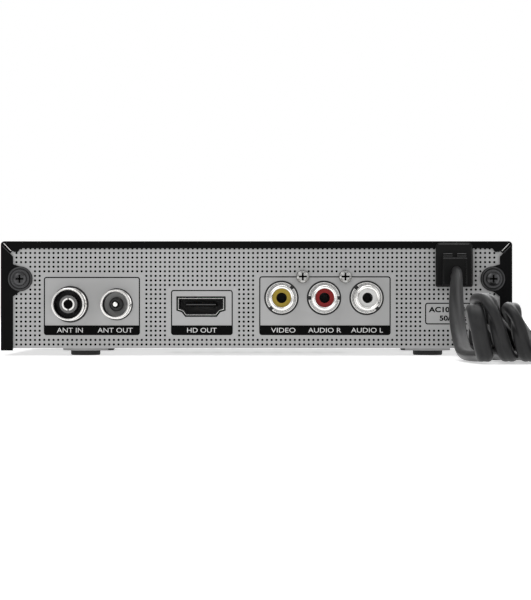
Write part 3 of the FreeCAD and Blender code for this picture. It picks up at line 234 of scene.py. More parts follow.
def glowing(material, colour, strength):
    """The finish with a lamp's glow added."""
    glow = {"Emission Color": (*colour, 1), "Emission Strength": strength}
    fill(material.node_tree.nodes["Principled BSDF"], glow)
    return material


def see_through(material, share):
    """The finish as tinted clear plastic."""
    fill(material.node_tree.nodes["Principled BSDF"], {"Transmission Weight": share, "IOR": 1.49})
    return material


PANEL = surface("panel_paint", (0.385, 0.385, 0.385), 0.04, 0.62, grain=2200, relief=0.015, shine=0.2)
COVER = surface(
    "cover_paint", (0.0022, 0.0022, 0.0024), 0.3, 0.42, grain=2600, relief=0.03, shine=0.06, rough_change=0.03
)
# Black print ink, also laid as painted shade in gaps, recesses and bores and on the video port's tongue.
BLACK_INK_AND_SHADE = surface("black_ink_and_painted_shade", (0.002, 0.002, 0.002), 0.25, 0.5, grain=1800, relief=0.005, shine=0.04)
INK_WHITE = surface("white_ink", (0.66, 0.66, 0.66), 0.06, 0.5, grain=1800, relief=0.005)
BARE = surface("bare_steel", (0.78, 0.78, 0.76), 0.15, 0.4, 0.7, 1500, 0.004, (1, 1, 6))
PLATED = surface("nickel_plate", (0.83, 0.82, 0.8), 0.06, 0.16, 1.0, 500, 0, rough_change=0.05)
# A darker copy of the nickel plate: painted shade at the steps of the phono jacks.
PLATED_SHADE = surface("nickel_plate_painted_shade", (0.2, 0.2, 0.2), 0.15, 0.32, 1.0, 600, 0)
ZINC = surface("bright_zinc", (0.42, 0.42, 0.41), 0.3, 0.2, 1.0, 900, 0.002)
BLACK_ZINC = surface("black_zinc", (0.07, 0.07, 0.072), 0.25, 0.3, 1.0, 900, 0.003)
TINNED = surface("tinned_sheet", (0.6, 0.61, 0.62), 0.12, 0.35, 1.0, 700, 0.02)
WHITE_PLASTIC = surface("white_moulding", (0.6, 0.6, 0.59), 0.05, 0.45, grain=1400, relief=0.01)
GREY_INSULATOR = surface("grey_moulding", (0.15, 0.15, 0.148), 0.06, 0.5, grain=1400, relief=0.01)
PALE_INSULATOR = surface("pale_moulding", (0.75, 0.75, 0.74), 0.06, 0.5, grain=1400, relief=0.01)
YELLOW = surface(
    "yellow_moulding", (0.3, 0.215, 0.024), 0.07, 0.36, grain=1200, relief=0.008, coat=0.05, shine=0.25
)
RED = surface("red_moulding", (0.19, 0.008, 0.008), 0.1, 0.36, grain=1200, relief=0.008, coat=0.05, shine=0.2)
# Black moulding, also used as painted shade lining the aerial barrels and the video port.
BLACK_MOULDING_AND_SHADE = surface("black_moulding_and_painted_shade", (0.011, 0.011, 0.012), 0.2, 0.46, grain=1700, relief=0.02)
GROMMET = surface("black_nylon", (0.004, 0.004, 0.004), 0.25, 0.38, grain=1500, relief=0.02, shine=0.12)
BEZEL = surface(
    "polished_black",
    (0.005, 0.005, 0.006),
    0.2,
    0.14,
    grain=500,
    relief=0.001,
    coat=0.15,
    rough_change=0.03,
    shine=0.35,
)
ACRYLIC = surface(
    "smoked_acrylic", (0.09, 0.09, 0.1), 0.06, 0.05, grain=300, relief=0, rough_change=0.02, shine=0.3
)
WINDOW = see_through(ACRYLIC, 0.9)
BUTTON = surface("button_moulding", (0.05, 0.05, 0.053), 0.12, 0.24, grain=900, relief=0.006, coat=0.3)
PLUNGER = surface("plunger_moulding", (0.5, 0.08, 0.04), 0.1, 0.4)
BOARD = surface("solder_resist", (0.015, 0.12, 0.045), 0.25, 0.35, grain=700, relief=0.02)
ALLOY = surface("plain_extrusion", (0.6, 0.61, 0.62), 0.08, 0.38, 1.0, 900, 0.01, (1, 1, 8))
CORE = surface(
    "varnished_winding", (0.45, 0.28, 0.04), 0.2, 0.5, grain=1500, relief=0.1, stretch=(0.2, 1, 1)
)
NYLON = surface("natural_nylon", (0.7, 0.68, 0.6), 0.05, 0.45)
SLEEVE = surface("capacitor_sleeve", (0.012, 0.016, 0.045), 0.2, 0.28, coat=0.3)
RIBBON = surface(
    "flat_cable", (0.36, 0.37, 0.39), 0.25, 0.5, grain=1200, relief=0.08, stretch=(1, 0.05, 0.05)
)
WIRE = surface("wire_insulation", (0.09, 0.04, 0.02), 0.2, 0.45)
FOOT = surface("foot_rubber", (0.014, 0.014, 0.014), 0.25, 0.7, grain=1500, relief=0.04)
SHEATH = surface("cord_sheath", (0.014, 0.014, 0.0145), 0.3, 0.42, grain=1100, relief=0.02, shine=0.22)
DIGIT = glowing(surface("digit_segment", (0.2, 0.6, 0.3), 0.1, 0.4), (0.25, 1.0, 0.4), 9)
# A lighter copy of the black nylon: painted highlights on the strain relief's edges and on the video port's
# tongue.
NYLON_HIGHLIGHT = surface("nylon_painted_highlight", (0.06, 0.06, 0.06), 0.3, 0.4, grain=1500, relief=0.01)
# A lighter copy of the cover paint: painted highlight on the beads round the cover screws.
COVER_HIGHLIGHT = surface("cover_painted_highlight", (0.022, 0.022, 0.023), 0.3, 0.35, grain=2600, relief=0.01)
GOLD = surface("gold_flash", (0.75, 0.52, 0.2), 0.1, 0.25, 1.0, 900, 0.001)
SYMBOL = surface("symbol_print", (0.55, 0.55, 0.55), 0.06, 0.45, grain=1500, relief=0.004)

CAD_FINISHES = (
    (PANEL, "chassis_tray"),
    (COVER, "top_cover"),
    (FOOT, "rubber_feet"),
    (BLACK_ZINC, "cover_screws"),
    (ZINC, "phono_screws", "board_screws"),
    (PLATED, "aerial_input_shell", "aerial_input_contact", "aerial_output_shell", "aerial_output_pin"),
    (PLATED, "video_port_shell", "video_jack_shell", "audio_right_jack_shell", "audio_left_jack_shell"),
    (PLATED, "memory_port_shell"),
    (GREY_INSULATOR, "aerial_input_insulator"),
    (PALE_INSULATOR, "aerial_output_insulator"),
    (WHITE_PLASTIC, "audio_left_jack_insert"),
    (YELLOW, "video_jack_insert"),
    (RED, "audio_right_jack_insert"),
    (BLACK_MOULDING_AND_SHADE, "phono_block", "memory_port_tongue", "infrared_receiver"),
    # The tongue takes the blacker ink finish: painted shade deep in the port.
    (BLACK_INK_AND_SHADE, "video_port_tongue"),
    (BLACK_MOULDING_AND_SHADE, "processor_chip", "memory_chip", "led_display"),
    (BLACK_MOULDING_AND_SHADE, "power_switch", "channel_up_switch", "channel_down_switch"),
    (BEZEL, "front_bezel"),
    (WINDOW, "display_window"),
    (BUTTON, "power_button", "channel_up_button", "channel_down_button"),
    (PLUNGER, "power_plunger", "channel_up_plunger", "channel_down_plunger"),
    (BOARD, "main_board", "power_board", "display_board"),
    (TINNED, "tuner_can"),
    (ALLOY, "processor_heatsink"),
    (CORE, "mains_choke", "transformer"),
    (NYLON, "ribbon_headers", "mains_header"),
    (SLEEVE, "electrolytic_capacitors"),
    (RIBBON, "power_ribbon", "display_ribbon"),
    (WIRE, "mains_leads"),
)


def dress_cad():
    """Gives every CAD node that is shown its finish."""
    for finish, *nodes in CAD_FINISHES:
        for node in nodes:
            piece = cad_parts[node]
            if not piece.material_slots:
                piece.data.materials.append(finish)
            for place in piece.material_slots:
                place.material = finish


# ---- mesh helpers


def box_of(node):
    """The corners of a node's box, in millimetres."""
    low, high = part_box(node)
    return low / MM, high / MM


def middle_of(node):
    """The middle of a node's box, in millimetres."""
    low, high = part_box(node)
    return (low + high) / 2 / MM


def piece_of(name, build, finish, body=CASE):
    """A mesh piece: build() fills a bmesh in millimetres."""
    made = bmesh.new()
    build(made)
    bmesh.ops.scale(made, vec=(MM, MM, MM), verts=made.verts)
    bmesh.ops.recalc_face_normals(made, faces=made.faces)
    data = bpy.data.meshes.new(name)
    made.to_mesh(data)
    made.free()
    data.materials.append(finish)
    piece = bpy.data.objects.new(name, data)
    scene.collection.objects.link(piece)
    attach(piece, body)
    return piece


def smooth(piece, angle=40):
    """Smooth shading except over edges sharper than the angle."""
    piece.data.shade_smooth()
    piece.data.set_sharp_from_angle(angle=math.radians(angle))


def loop_of(made, outline, y):
    """Vertices for an outline in X and Z at a depth."""
    return [made.verts.new((x, y, z)) for x, z in outline]


def skin(made, first, second):
    """Quads between two closed loops of the same length."""
    count = len(first)
    for index in range(count):
        after = (index + 1) % count
        made.faces.new((first[index], first[after], second[after], second[index]))


def loft(made, loops):
    """A closed body through a row of loops."""
    for first, second in zip(loops, loops[1:]):
        skin(made, first, second)
    made.faces.new(loops[0])
    made.faces.new(loops[-1])


def prism(made, outline, front, back):
    """A closed prism from an outline in X and Z."""
    near = loop_of(made, outline, front)
    far = loop_of(made, outline, back)
    made.faces.new(near)
    made.faces.new(list(reversed(far)))
    skin(made, near, far)


def ring(made, outer, inner, front, back):
    """A closed ring between two outlines with the same number of points."""
    faces = ((outer, front), (inner, front), (inner, back), (outer, back))
    loops = [loop_of(made, outline, y) for outline, y in faces]
    for first, second in zip(loops, [*loops[1:], loops[0]]):
        skin(made, first, second)


def shrunk(left, bottom, right, top, inset):
    """A rectangle's edges moved inwards."""
    return left + inset, bottom + inset, right - inset, top - inset


def rounded(left, bottom, right, top, radii, steps=6):
    """A rectangle's outline with rounded corners: left-bottom, right-bottom, right-top, left-top."""
    outline = []
    corners = ((left, bottom, 1, 1), (right, bottom, -1, 1), (right, top, -1, -1), (left, top, 1, -1))
    for quarter, ((x, z, inward_x, inward_z), radius) in enumerate(zip(corners, radii)):
        for step in range(steps + 1):
            angle = math.pi + (quarter + step / steps) * math.pi / 2
            across = x + inward_x * radius + math.cos(angle) * radius
            up = z + inward_z * radius + math.sin(angle) * radius
            outline.append((across, up))
    return outline


def disc_outline(x, z, radius, count):
    """A round outline."""
    return [
        (x + radius * math.cos(turn * math.tau / count), z + radius * math.sin(turn * math.tau / count))
        for turn in range(count)
    ]


def turned(made, axis, base, profile, count=48, start=0.0, sweep=math.tau):
    """A body turned about an axis along Y, from a closed profile of radius and depth from a base."""
    x, z = axis
    whole = sweep > math.tau - 0.001
    steps = count if whole else max(2, round(count * sweep / math.tau)) + 1
    loops = []
    for step in range(steps):
        turn = start + sweep * step / (steps if whole else steps - 1)
        across, up = math.cos(turn), math.sin(turn)
        corners = [(x + radius * across, base + deep, z + radius * up) for radius, deep in profile]
        loops.append([made.verts.new(corner) for corner in corners])
    for first, second in zip(loops, loops[1:]):
        skin(made, first, second)
    if whole:
        skin(made, loops[-1], loops[0])
    else:
        made.faces.new(loops[0])
        made.faces.new(loops[-1])


def block(made, left, right, near, far, bottom, top, bevel=0.0):
    """A box whose near face is bevelled."""
    loops = [
        loop_of(made, rounded(*shrunk(left, bottom, right, top, inset), (0.06,) * 4, 2), y)
        for inset, y in ((bevel, near), (0.0, near + bevel), (0.0, far))
    ]
    loft(made, loops)


def inset_outline(outline, distance):
    """The outline moved inwards: its points run with the inside on the left."""
    moved = []
    count = len(outline)
    for index, corner in enumerate(outline):
        before = Vector(outline[index - 1])
        here = Vector(corner)
        after = Vector(outline[(index + 1) % count])
        arriving = (here - before).normalized()
        leaving = (after - here).normalized()
        first = Vector((-arriving.y, arriving.x))
        second = Vector((-leaving.y, leaving.x))
        moved.append(tuple(here + (first + second) * distance / (1 + first.dot(second))))
    return moved


# ---- the mains cord

CORD_WIDTH = 5.0
CORD_THICKNESS = 3.1
EXIT_TWIST = math.radians(78)
TWIST_END = 46.0
GROOVE_HALF_WIDTH = 0.45
GROOVE_DEPTH = 0.14

# The lead from the grommet to the hank and the tail from the hank to the plug.
LEAD_ROUTE = (
    (65.1, -52.8, 26.95),
    (64.9, -57.8, 26.7),
    (64.5, -63.2, 25.3),
    (63.9, -69.4, 22.1),
    (63.2, -77.2, 16.2),
    (62.9, -88.0, 9.3),
    (62.9, -101.5, 4.4),
    (62.6, -116.5, 2.3),
    (63.4, -130.0, 1.9),
    (65.6, -142.0, 2.1),
)
TAIL_ROUTE = (
    (83.1, -157.5, 1.8),
    (84.6, -169.3, 1.6),
    (91.0, -179.6, 1.6),
    (101.6, -185.2, 1.6),
    (113.6, -184.2, 1.6),
    (124.2, -176.7, 1.6),
    (130.7, -165.2, 1.6),
    (132.9, -151.2, 1.6),
    (131.9, -135.6, 1.6),
    (129.3, -118.8, 1.6),
    (127.2, -100.4, 1.6),
    (126.6, -82.0, 1.6),
    (127.5, -63.6, 1.6),
    (129.2, -46.2, 1.9),
    (130.2, -31.0, 4.0),
    (130.4, -17.4, 6.5),
    (130.4, -4.4, 6.85),
)

# The hank's own frame: across, along from the end nearest the camera, and up.
HANK_CORNER = (61.9, -152.95)
HANK_TURN = math.radians(7.5)
LOW = 2.15
WAIST_HIGH = 5.32
FOLD_ANGLES = (-67.5, -22.5, 22.5, 67.5)
FOLD_POINT = 1 / math.cos(math.radians(22.5))
SHOULDER = 9.6
WAIST_ALONG = 54.0
WAIST_STEP = 8.5

# How strongly the cord's flat side turns level at each step, and how far from upright it has to run.
LEVEL_PULL = 0.35
LEVEL_FROM = 0.2

# For each turn: the near fold's nose, its lower and upper places across and its height; the points
# on the way to the waist; the place across at the waist; the far fold's nose, place and height.
TURNS = (
    (
        (1.6, 3.5, -0.4, 16.2),
        ((-0.7, 13.2, 15.0), (-0.5, 24.0, 11.3), (1.7, 34.0, 6.9)),
        4.6,
        (100.0, -3.2, 15.7),
    ),
    (
        (1.8, 10.0, 3.2, 18.5),
        ((0.8, 13.0, 19.1), (0.3, 21.0, 17.5), (2.9, 29.0, 13.8), (7.3, 36.5, 9.4)),
        9.75,
        (100.2, 2.1, 15.3),
    ),
    (
        (2.6, 15.6, 9.9, 16.3),
        ((9.7, 14.5, 15.9), (10.2, 22.0, 14.0), (12.2, 32.5, 9.3)),
        14.9,
        (98.8, 8.2, 15.9),
    ),
)
TAIL_ACROSS = 21.0


def hank_point(across, along, up):
    """A place in the hank as a place in the model."""
    return (
        HANK_CORNER[0] + across * math.cos(HANK_TURN) + along * math.sin(HANK_TURN),
        HANK_CORNER[1] - across * math.sin(HANK_TURN) + along * math.cos(HANK_TURN),
        up,
    )


def fold(nose, inward, start, end, angles):
    """Control points round a fold, from one place across and height to the other."""
    radius = abs(end[1] - start[1]) / 2
    middle = (end[1] + start[1]) / 2
    first = math.copysign(90, angles[0])
    points = []
    for angle in angles:
        turn = math.radians(angle)
        share = (first - angle) / (2 * first)
        across = start[0] + (end[0] - start[0]) * share
        along = nose + inward * (radius - radius * FOLD_POINT * math.cos(turn))
        points.append(hank_point(across, along, middle + radius * FOLD_POINT * math.sin(turn)))
    return points


def hank_route():
    """Control points of the folded turns, drawn in at the waist where the band holds them."""
    points = []
    for index, (near, leaving, waist, far) in enumerate(TURNS):
        nose, low_across, high_across, high = near
        far_nose, far_across, far_high = far
        points += fold(nose, 1, (low_across, LOW), (high_across, high), FOLD_ANGLES)
        points += [hank_point(*place) for place in leaving]
        points += [
            hank_point(waist, WAIST_ALONG - WAIST_STEP, WAIST_HIGH),
            hank_point(waist, WAIST_ALONG, WAIST_HIGH),
            hank_point(waist, WAIST_ALONG + WAIST_STEP, WAIST_HIGH),
            hank_point(waist * 0.5 + far_across * 0.5, 73.0, 9.4),
            hank_point(far_across, 84.0, far_high - 1.6),
            hank_point(far_across, far_nose - SHOULDER, far_high - 0.1),
        ]
        points += fold(far_nose, -1, (far_across, far_high), (far_across, LOW), FOLD_ANGLES[::-1])
        after = TURNS[index + 1][0][1] if index + 1 < len(TURNS) else TAIL_ACROSS
        points += [
            hank_point(far_across, far_nose - SHOULDER, LOW),
            hank_point(far_across, 80.0, LOW),
            hank_point(waist, 63.0, LOW),
            hank_point(waist, 47.0, LOW),
            hank_point(waist * 0.45 + after * 0.55, 32.0, LOW),
            hank_point(after, 15.0, LOW),
        ]
    return points


def smooth_line(route):
    """Points along the NURBS spline whose control points are the route, in millimetres."""
    data = bpy.data.curves.new("route", "CURVE")
    data.dimensions = "3D"
    data.resolution_u = 9
    spline = data.splines.new("NURBS")
    spline.points.add(len(route) - 1)
    for place, corner in zip(spline.points, route):
        place.co = (*corner, 1)
    spline.order_u = 3
    spline.use_endpoint_u = True
    bare = bpy.data.objects.new("route", data)
    mesh = bpy.data.meshes.new_from_object(bare)
    line = [vertex.co.copy() for vertex in mesh.vertices]
    bpy.data.objects.remove(bare)
    bpy.data.meshes.remove(mesh)
    return line


def directions_of(line):
    """The unit direction at each point of a line."""
    ends = zip([line[0], *line[:-1]], [*line[1:], line[-1]])
    return [(after - before).normalized() for before, after in ends]


def cord_section():
    """The flat twin section: across and up, with a faint groove down the middle of each flat side."""
    half_flat = (CORD_WIDTH - CORD_THICKNESS) / 2
    radius = CORD_THICKNESS / 2
    upper = [
        (half_flat + radius * math.cos(turn * math.pi / 10), radius * math.sin(turn * math.pi / 10))
        for turn in range(6)
    ]
    upper += [(GROOVE_HALF_WIDTH, radius - 0.02), (0.0, radius - GROOVE_DEPTH)]
    left = [(-x, z) for x, z in reversed(upper[:-1])]
    half = [*upper, *left]
    under = [(-x, -z) for x, z in half[1:-1]]
    return [*half, *under]


def add_cord():
    """The whole mains cord as one flat twin cord swept along its spline."""
    line = smooth_line([*LEAD_ROUTE, *hank_route(), *TAIL_ROUTE])
    directions = directions_of(line)
    section = cord_section()
    up = Vector((0, 0, 1))

    def build(made):
        wide = Vector((1, 0, 0))
        walked = 0.0
        rings = []
        before = line[0]
        for place, direction in zip(line, directions):
            walked += (place - before).length
            before = place
            wide = (wide - direction * wide.dot(direction)).normalized()
            level = direction.cross(up)
            pull = level.length
            if pull > LEVEL_FROM:
                level.normalize()
                if level.dot(wide) < 0:
                    level.negate()
                wide = (wide + level * pull * LEVEL_PULL).normalized()
                wide = (wide - direction * wide.dot(direction)).normalized()
            share = min(1.0, walked / TWIST_END)
            twist = EXIT_TWIST * (1 - share * share * (3 - 2 * share))
            side = Matrix.Rotation(twist, 3, direction) @ wide
            top = side.cross(direction)
            rings.append([made.verts.new(place + side * x + top * z) for x, z in section])
        loft(made, rings)

    cord = piece_of("power_cord", build, SHEATH)
    smooth(cord, 60)
    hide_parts("power_cord_lead", "power_cord_hank", "power_cord_tail")
    return cord, [place * MM for place in line]


def superellipse(half_width, half_height, power, count=40):
    """A rounded outline about the origin."""
    outline = []
    for step in range(count):
        turn = step * math.tau / count
        x, z = (math.copysign(abs(part) ** (2 / power), part) for part in (math.cos(turn), math.sin(turn)))
        outline.append((half_width * x, half_height * z))
    return outline


def add_plug():
    """The flat two-pin plug: a ribbed neck that grows into a flat body, and sleeved pins."""
    low, high = box_of("plug_body")
    middle = (low + high) / 2
    half_width = (high.x - low.x) / 2
    half_height = (high.z - low.z) / 2
    length = high.y - low.y
    # Each station: its place along, its width and height as shares of the body's, and how square it is.
    stations = [(0.0, 0.15, 0.28, 2.2), (0.005, 0.24, 0.44, 2.2)]
    for rib in range(4):
        start = 0.03 + rib * 0.075
        swell = 0.27 + rib * 0.025
        stations += [
            (start, swell, swell * 1.75, 2.3),
            (start + 0.042, swell + 0.006, swell * 1.78, 2.3),
            (start + 0.046, swell - 0.045, swell * 1.45, 2.3),
            (start + 0.071, swell - 0.04, swell * 1.48, 2.3),
        ]
    stations += [
        (0.335, 0.37, 0.66, 2.4),
        (0.42, 0.44, 0.78, 2.6),
        (0.52, 0.62, 0.9, 3.0),
        (0.62, 0.86, 0.97, 3.4),
        (0.7, 0.965, 1.0, 3.8),
        (0.8, 0.99, 1.0, 4.0),
        (0.96, 1.0, 1.0, 4.2),
        (0.985, 0.985, 0.96, 4.2),
        (1.0, 0.94, 0.86, 4.2),
    ]

    def build(made):
        rings = []
        for along, wide, tall, power in stations:
            outline = superellipse(half_width * wide, half_height * tall, power)
            y = low.y + along * length
            rings.append([made.verts.new((middle.x + x, y, middle.z + z)) for x, z in outline])
        loft(made, rings)

    body = piece_of("mains_plug", build, SHEATH)
    smooth(body, 35)
    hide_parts("plug_body")

    pin_low, pin_high = box_of("plug_pins")
    radius = (pin_high.z - pin_low.z) / 2
    across = (pin_low.x + radius, pin_high.x - radius)
    sleeve_end = pin_low.y + 9.5

    def turned_pin(made, stations_of_pin):
        for x in across:
            rings = [
                [made.verts.new((x + dx, y, middle.z + dz)) for dx, dz in disc_outline(0, 0, size, 28)]
                for y, size in stations_of_pin
            ]
            loft(made, rings)

    metal = (
        (sleeve_end - 0.5, radius * 0.9),
        (pin_high.y - 1.6, radius * 0.98),
        (pin_high.y - 0.7, radius * 0.86),
        (pin_high.y - 0.15, radius * 0.55),
        (pin_high.y, radius * 0.2),
    )
    sleeve = ((pin_low.y - 0.3, radius), (sleeve_end - 0.3, radius), (sleeve_end, radius * 0.93))
    pins = piece_of("mains_plug_pins", lambda made: turned_pin(made, metal), PLATED)
    sleeves = piece_of(
        "mains_plug_pin_sleeves", lambda made: turned_pin(made, sleeve), SHEATH
    )
    for piece in (pins, sleeves):
        smooth(piece, 35)
    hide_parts("plug_pins")
    return [body, pins, sleeves]


# The band round the waist: left, bottom, right and top, and the twist of its ends.
BAND = (1.9, 0.35, 17.7, 7.25)
BAND_THICKNESS = 0.35
BAND_HALF_WIDTH = 2.0
TWIST_START = 8.5
TWIST_LENGTH = 9.0
TWIST_TURNS = 3.5
TWIST_SPREAD = 0.42
TWIST_LIFT = 0.75
TWIST_RISE = 0.4
TWIST_STEPS = 45
STRAND_RADIUS = 0.36


def add_tie():
    """The band round the hank's waist, with its twisted ends on top."""
    half = BAND_HALF_WIDTH

    def place(across, step, up):
        return hank_point(across, WAIST_ALONG + step, up)

    def build(made):
        outer = rounded(*shrunk(*BAND, -BAND_THICKNESS), (1.9,) * 4)
        inner = rounded(*BAND, (1.55,) * 4)
        loops = [
            [made.verts.new(place(x, step, z)) for x, z in outline]
            for outline, step in ((outer, -half), (inner, -half), (inner, half), (outer, half))
        ]
        for first, second in zip(loops, [*loops[1:], loops[0]]):
            skin(made, first, second)
        strand = disc_outline(0, 0, STRAND_RADIUS, 8)
        for phase in (0, math.pi):
            rings = []
            for step in range(TWIST_STEPS + 1):
                share = step / TWIST_STEPS
                turn = phase + share * math.tau * TWIST_TURNS
                centre = Vector(
                    (
                        TWIST_START + share * TWIST_LENGTH,
                        math.sin(turn) * TWIST_SPREAD,
                        BAND[3] + TWIST_LIFT + math.cos(turn) * TWIST_SPREAD + share * TWIST_RISE,
                    )
                )
                rings.append(
                    [made.verts.new(place(centre.x, centre.y + dy, centre.z + dz)) for dy, dz in strand]
                )
            loft(made, rings)

    tie = piece_of("hank_tie", build, BLACK_MOULDING_AND_SHADE)
    smooth(tie, 50)
    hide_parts("cord_tie")
    return tie


# ---- printing on the rear panel

# Frames round the sockets and the rating: left, bottom, right, top, and the top of the black strip.
FRAMES = (
    (-69.9, 6.75, -38.3, 25.9, 9.95),
    (-28.1, 6.75, -7.8, 21.6, 9.95),
    (0.9, 6.75, 44.1, 26.1, 9.95),
    (55.4, 10.26, 77.4, 17.4, None),
)
FRAME_LINE = 0.37
FRAME_CORNER = 0.9

# Each line's text, left, right, bottom and top.
LABELS = (
    ("ANT IN", -65.6, -57.1, 7.6, 9.15),
    ("ANT OUT", -52.2, -40.7, 7.6, 9.15),
    ("HD OUT", -22.8, -13.1, 7.6, 9.15),
    ("VIDEO", 4.8, 12.8, 7.6, 9.15),
    ("AUDIO R", 17.0, 27.8, 7.6, 9.15),
    ("AUDIO L", 31.1, 41.6, 7.6, 9.15),
)
RATING = (
    ("AC100-240V", 56.6, 71.9, 14.25, 16.05),
    ("50/60Hz", 60.2, 69.7, 11.45, 13.25),
)
DOT_RADIUS = 0.39
DOT_FIRST = -75.85
DOT_PITCH_ACROSS = 1.525
DOT_ROWS = 22
DOT_BOTTOM = 3.68
DOT_PITCH_UP = 1.5035
PANEL_EDGE = 79.6

# What the dots keep clear of, beside the frames: the screws, the cover's ears and the grommet.
PHONO_SCREWS = ((15.2, 26.0), (29.2, 26.0))
SCREW_MARGIN = 2.5
EAR_ACROSS = 77.7
EAR_UP = 25.25
EAR_MARGIN = 4.6
FRAME_MARGIN = 0.9
GROMMET_MARGIN = 0.1

# How much the letters' outlines are thickened, or thinned below zero.
LABEL_WEIGHT = -0.004
RATING_WEIGHT = 0.035


def clear_of(x, z, boxes, margin):
    """Whether a point keeps a margin from every box."""
    return all(
        x < left - margin or x > right + margin or z < bottom - margin or z > top + margin
        for left, bottom, right, top in boxes
    )


def dot_places():
    """The printed dots that aren't in a frame or under the cover's ears or the grommet."""
    boxes = [entry[:4] for entry in FRAMES]
    low, high = box_of("cord_grommet")
    hidden = [(low.x, low.z, high.x, high.z)]
    places = []
    first = DOT_FIRST - DOT_PITCH_ACROSS * 2
    columns = int((PANEL_EDGE - first) / DOT_PITCH_ACROSS) + 1
    for column in range(columns):
        x = first + column * DOT_PITCH_ACROSS
        for row in range(DOT_ROWS):
            z = DOT_BOTTOM + row * DOT_PITCH_UP
            near_screw = any(math.hypot(x - a, z - b) < SCREW_MARGIN for a, b in PHONO_SCREWS)
            near_ear = math.hypot(abs(x) - EAR_ACROSS, z - EAR_UP) < EAR_MARGIN
            if near_screw or near_ear or abs(x) > PANEL_EDGE:
                continue
            if clear_of(x, z, boxes, FRAME_MARGIN) and clear_of(x, z, hidden, GROMMET_MARGIN):
                places.append((x, z))
    return places


def build_dots(made):
    """The grid of printed dots."""
    for x, z in dot_places():
        prism(made, disc_outline(x, z, DOT_RADIUS, 10), REAR - INK, REAR + INK)


def build_frames(made):
    """The printed frames, and the black strips that carry the socket names."""
    for left, bottom, right, top, strip in FRAMES:
        outer = rounded(left, bottom, right, top, (FRAME_CORNER,) * 4)
        inner = rounded(*shrunk(left, bottom, right, top, FRAME_LINE), (FRAME_CORNER - FRAME_LINE,) * 4)
        ring(made, outer, inner, REAR - INK, REAR + INK)
        if strip:
            inset = FRAME_LINE / 2
            corners = (FRAME_CORNER - inset, FRAME_CORNER - inset, 0.02, 0.02)
            outline = rounded(left + inset, bottom + inset, right - inset, strip, corners)
            prism(made, outline, REAR - INK * 1.2, REAR + INK)


def letters(made, text, left, right, bottom, top, front, weight):
    """One line of lettering fitted to its box."""
    data = bpy.data.curves.new("letters", "FONT")
    data.body = text
    data.extrude = 0.5
    data.resolution_u = 4
    data.offset = weight
    bare = bpy.data.objects.new("letters", data)
    mesh = bpy.data.meshes.new_from_object(bare)
    xs = [vertex.co.x for vertex in mesh.vertices]
    ys = [vertex.co.y for vertex in mesh.vertices]
    low_x, low_y = min(xs), min(ys)
    wide = (right - left) / (max(xs) - low_x)
    tall = (top - bottom) / (max(ys) - low_y)
    for vertex in mesh.vertices:
        x, y, z = vertex.co
        vertex.co = (left + (x - low_x) * wide, front - z * INK, bottom + (y - low_y) * tall)
    made.from_mesh(mesh)
    bpy.data.objects.remove(bare)
    bpy.data.meshes.remove(mesh)


def lettering(lines, front, weight):
    """What builds several lines of lettering."""

    def build(made):
        for line in lines:
            letters(made, *line, front, weight)

    return build


def add_printing():
    """The dots, frames, strips and lettering on the rear panel."""
    parts = (
        ("printed_dots", build_dots, BLACK_INK_AND_SHADE),
        ("printed_frames", build_frames, BLACK_INK_AND_SHADE),
        ("port_labels", lettering(LABELS, REAR - INK * 1.6, LABEL_WEIGHT), INK_WHITE),
        ("supply_label", lettering(RATING, REAR - INK / 2, RATING_WEIGHT), BLACK_INK_AND_SHADE),
    )
    for name, build, finish in parts:
        piece_of(name, build, finish)


# ---- case details


def bar(made, start, end, width, front, back):
    """A thin straight strip in X and Z between two points."""
    start, end = Vector(start), Vector(end)
    along = (end - start).normalized()
    side = Vector((-along.y, along.x)) * width / 2
    outline = [start + side, start - side, end - side, end + side]
    prism(made, [(corner.x, corner.y) for corner in outline], front, back)


# The mitre at each top corner, as places across and up: the dark gap, which is painted shade, and the cut
# edges beside it.
MITRE_GAP_SHADE = ((80.5, 34.05), (83.2, 36.75))
UPPER_CUT = ((80.6, 34.4), (83.05, 36.95))
LOWER_CUT = ((81.1, 33.7), (83.5, 36.1))


def mirrored_bars(line, width, front, back):
    """What builds one strip at each side of the case."""

    def build(made):
        for side in (-1, 1):
            start, end = ((across * side, up) for across, up in line)
            bar(made, start, end, width, front, back)

    return build


# ---- socket details

AERIAL_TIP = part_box("aerial_input_shell")[0].y / MM
JACK_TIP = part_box("video_jack_shell")[0].y / MM

# Each phono jack, and the angle of the slot across its base ring.
JACKS = (("video", math.pi / 4), ("audio_right", 0.0), ("audio_left", 3 * math.pi / 4))
SLOT_HALF_WIDTH = 0.75
RIM_RADIUS = 4.9
STEP_SHADE_RADIUS = 4.5
RECESS_ARM = 1.32
RECESS_WIDTH = 0.66

# The digital video port's opening in the panel, across from its middle and up.
PORT_OUTLINE = (
    (-7.85, 19.25),
    (-7.85, 15.0),
    (-6.25, 14.5),
    (-5.05, 13.0),
    (5.05, 13.0),
    (6.25, 14.5),
    (7.85, 15.0),
    (7.85, 19.25),
)


def tube(made, axis, base, radii, depths, *turning):
    """A plain ring about an axis along Y, between two radii and two depths."""
    (one, other), (near, far) = radii, depths
    turned(made, axis, base, ((one, near), (other, near), (other, far), (one, far)), *turning)


def build_aerial_shade(made):
    """Painted shade: dark sleeves inside the two aerial barrels, and dark rings that fill the gaps round them
    in the panel's holes.
    """
    place = middle_of("aerial_input_shell")
    cup = ((4.73, 0.5), (4.6, 0.5), (4.6, 9.8), (2.95, 9.8), (2.95, 10.0), (4.73, 10.0))
    turned(made, place.xz, AERIAL_TIP, cup)
    tube(made, place.xz, REAR, (5.32, 6.03), (0.15, 0.6))
    place = middle_of("aerial_output_shell")
    tube(made, place.xz, AERIAL_TIP, (4.14, 4.02), (0.5, 8.7))
    tube(made, place.xz, REAR, (4.77, 5.28), (0.15, 0.6))


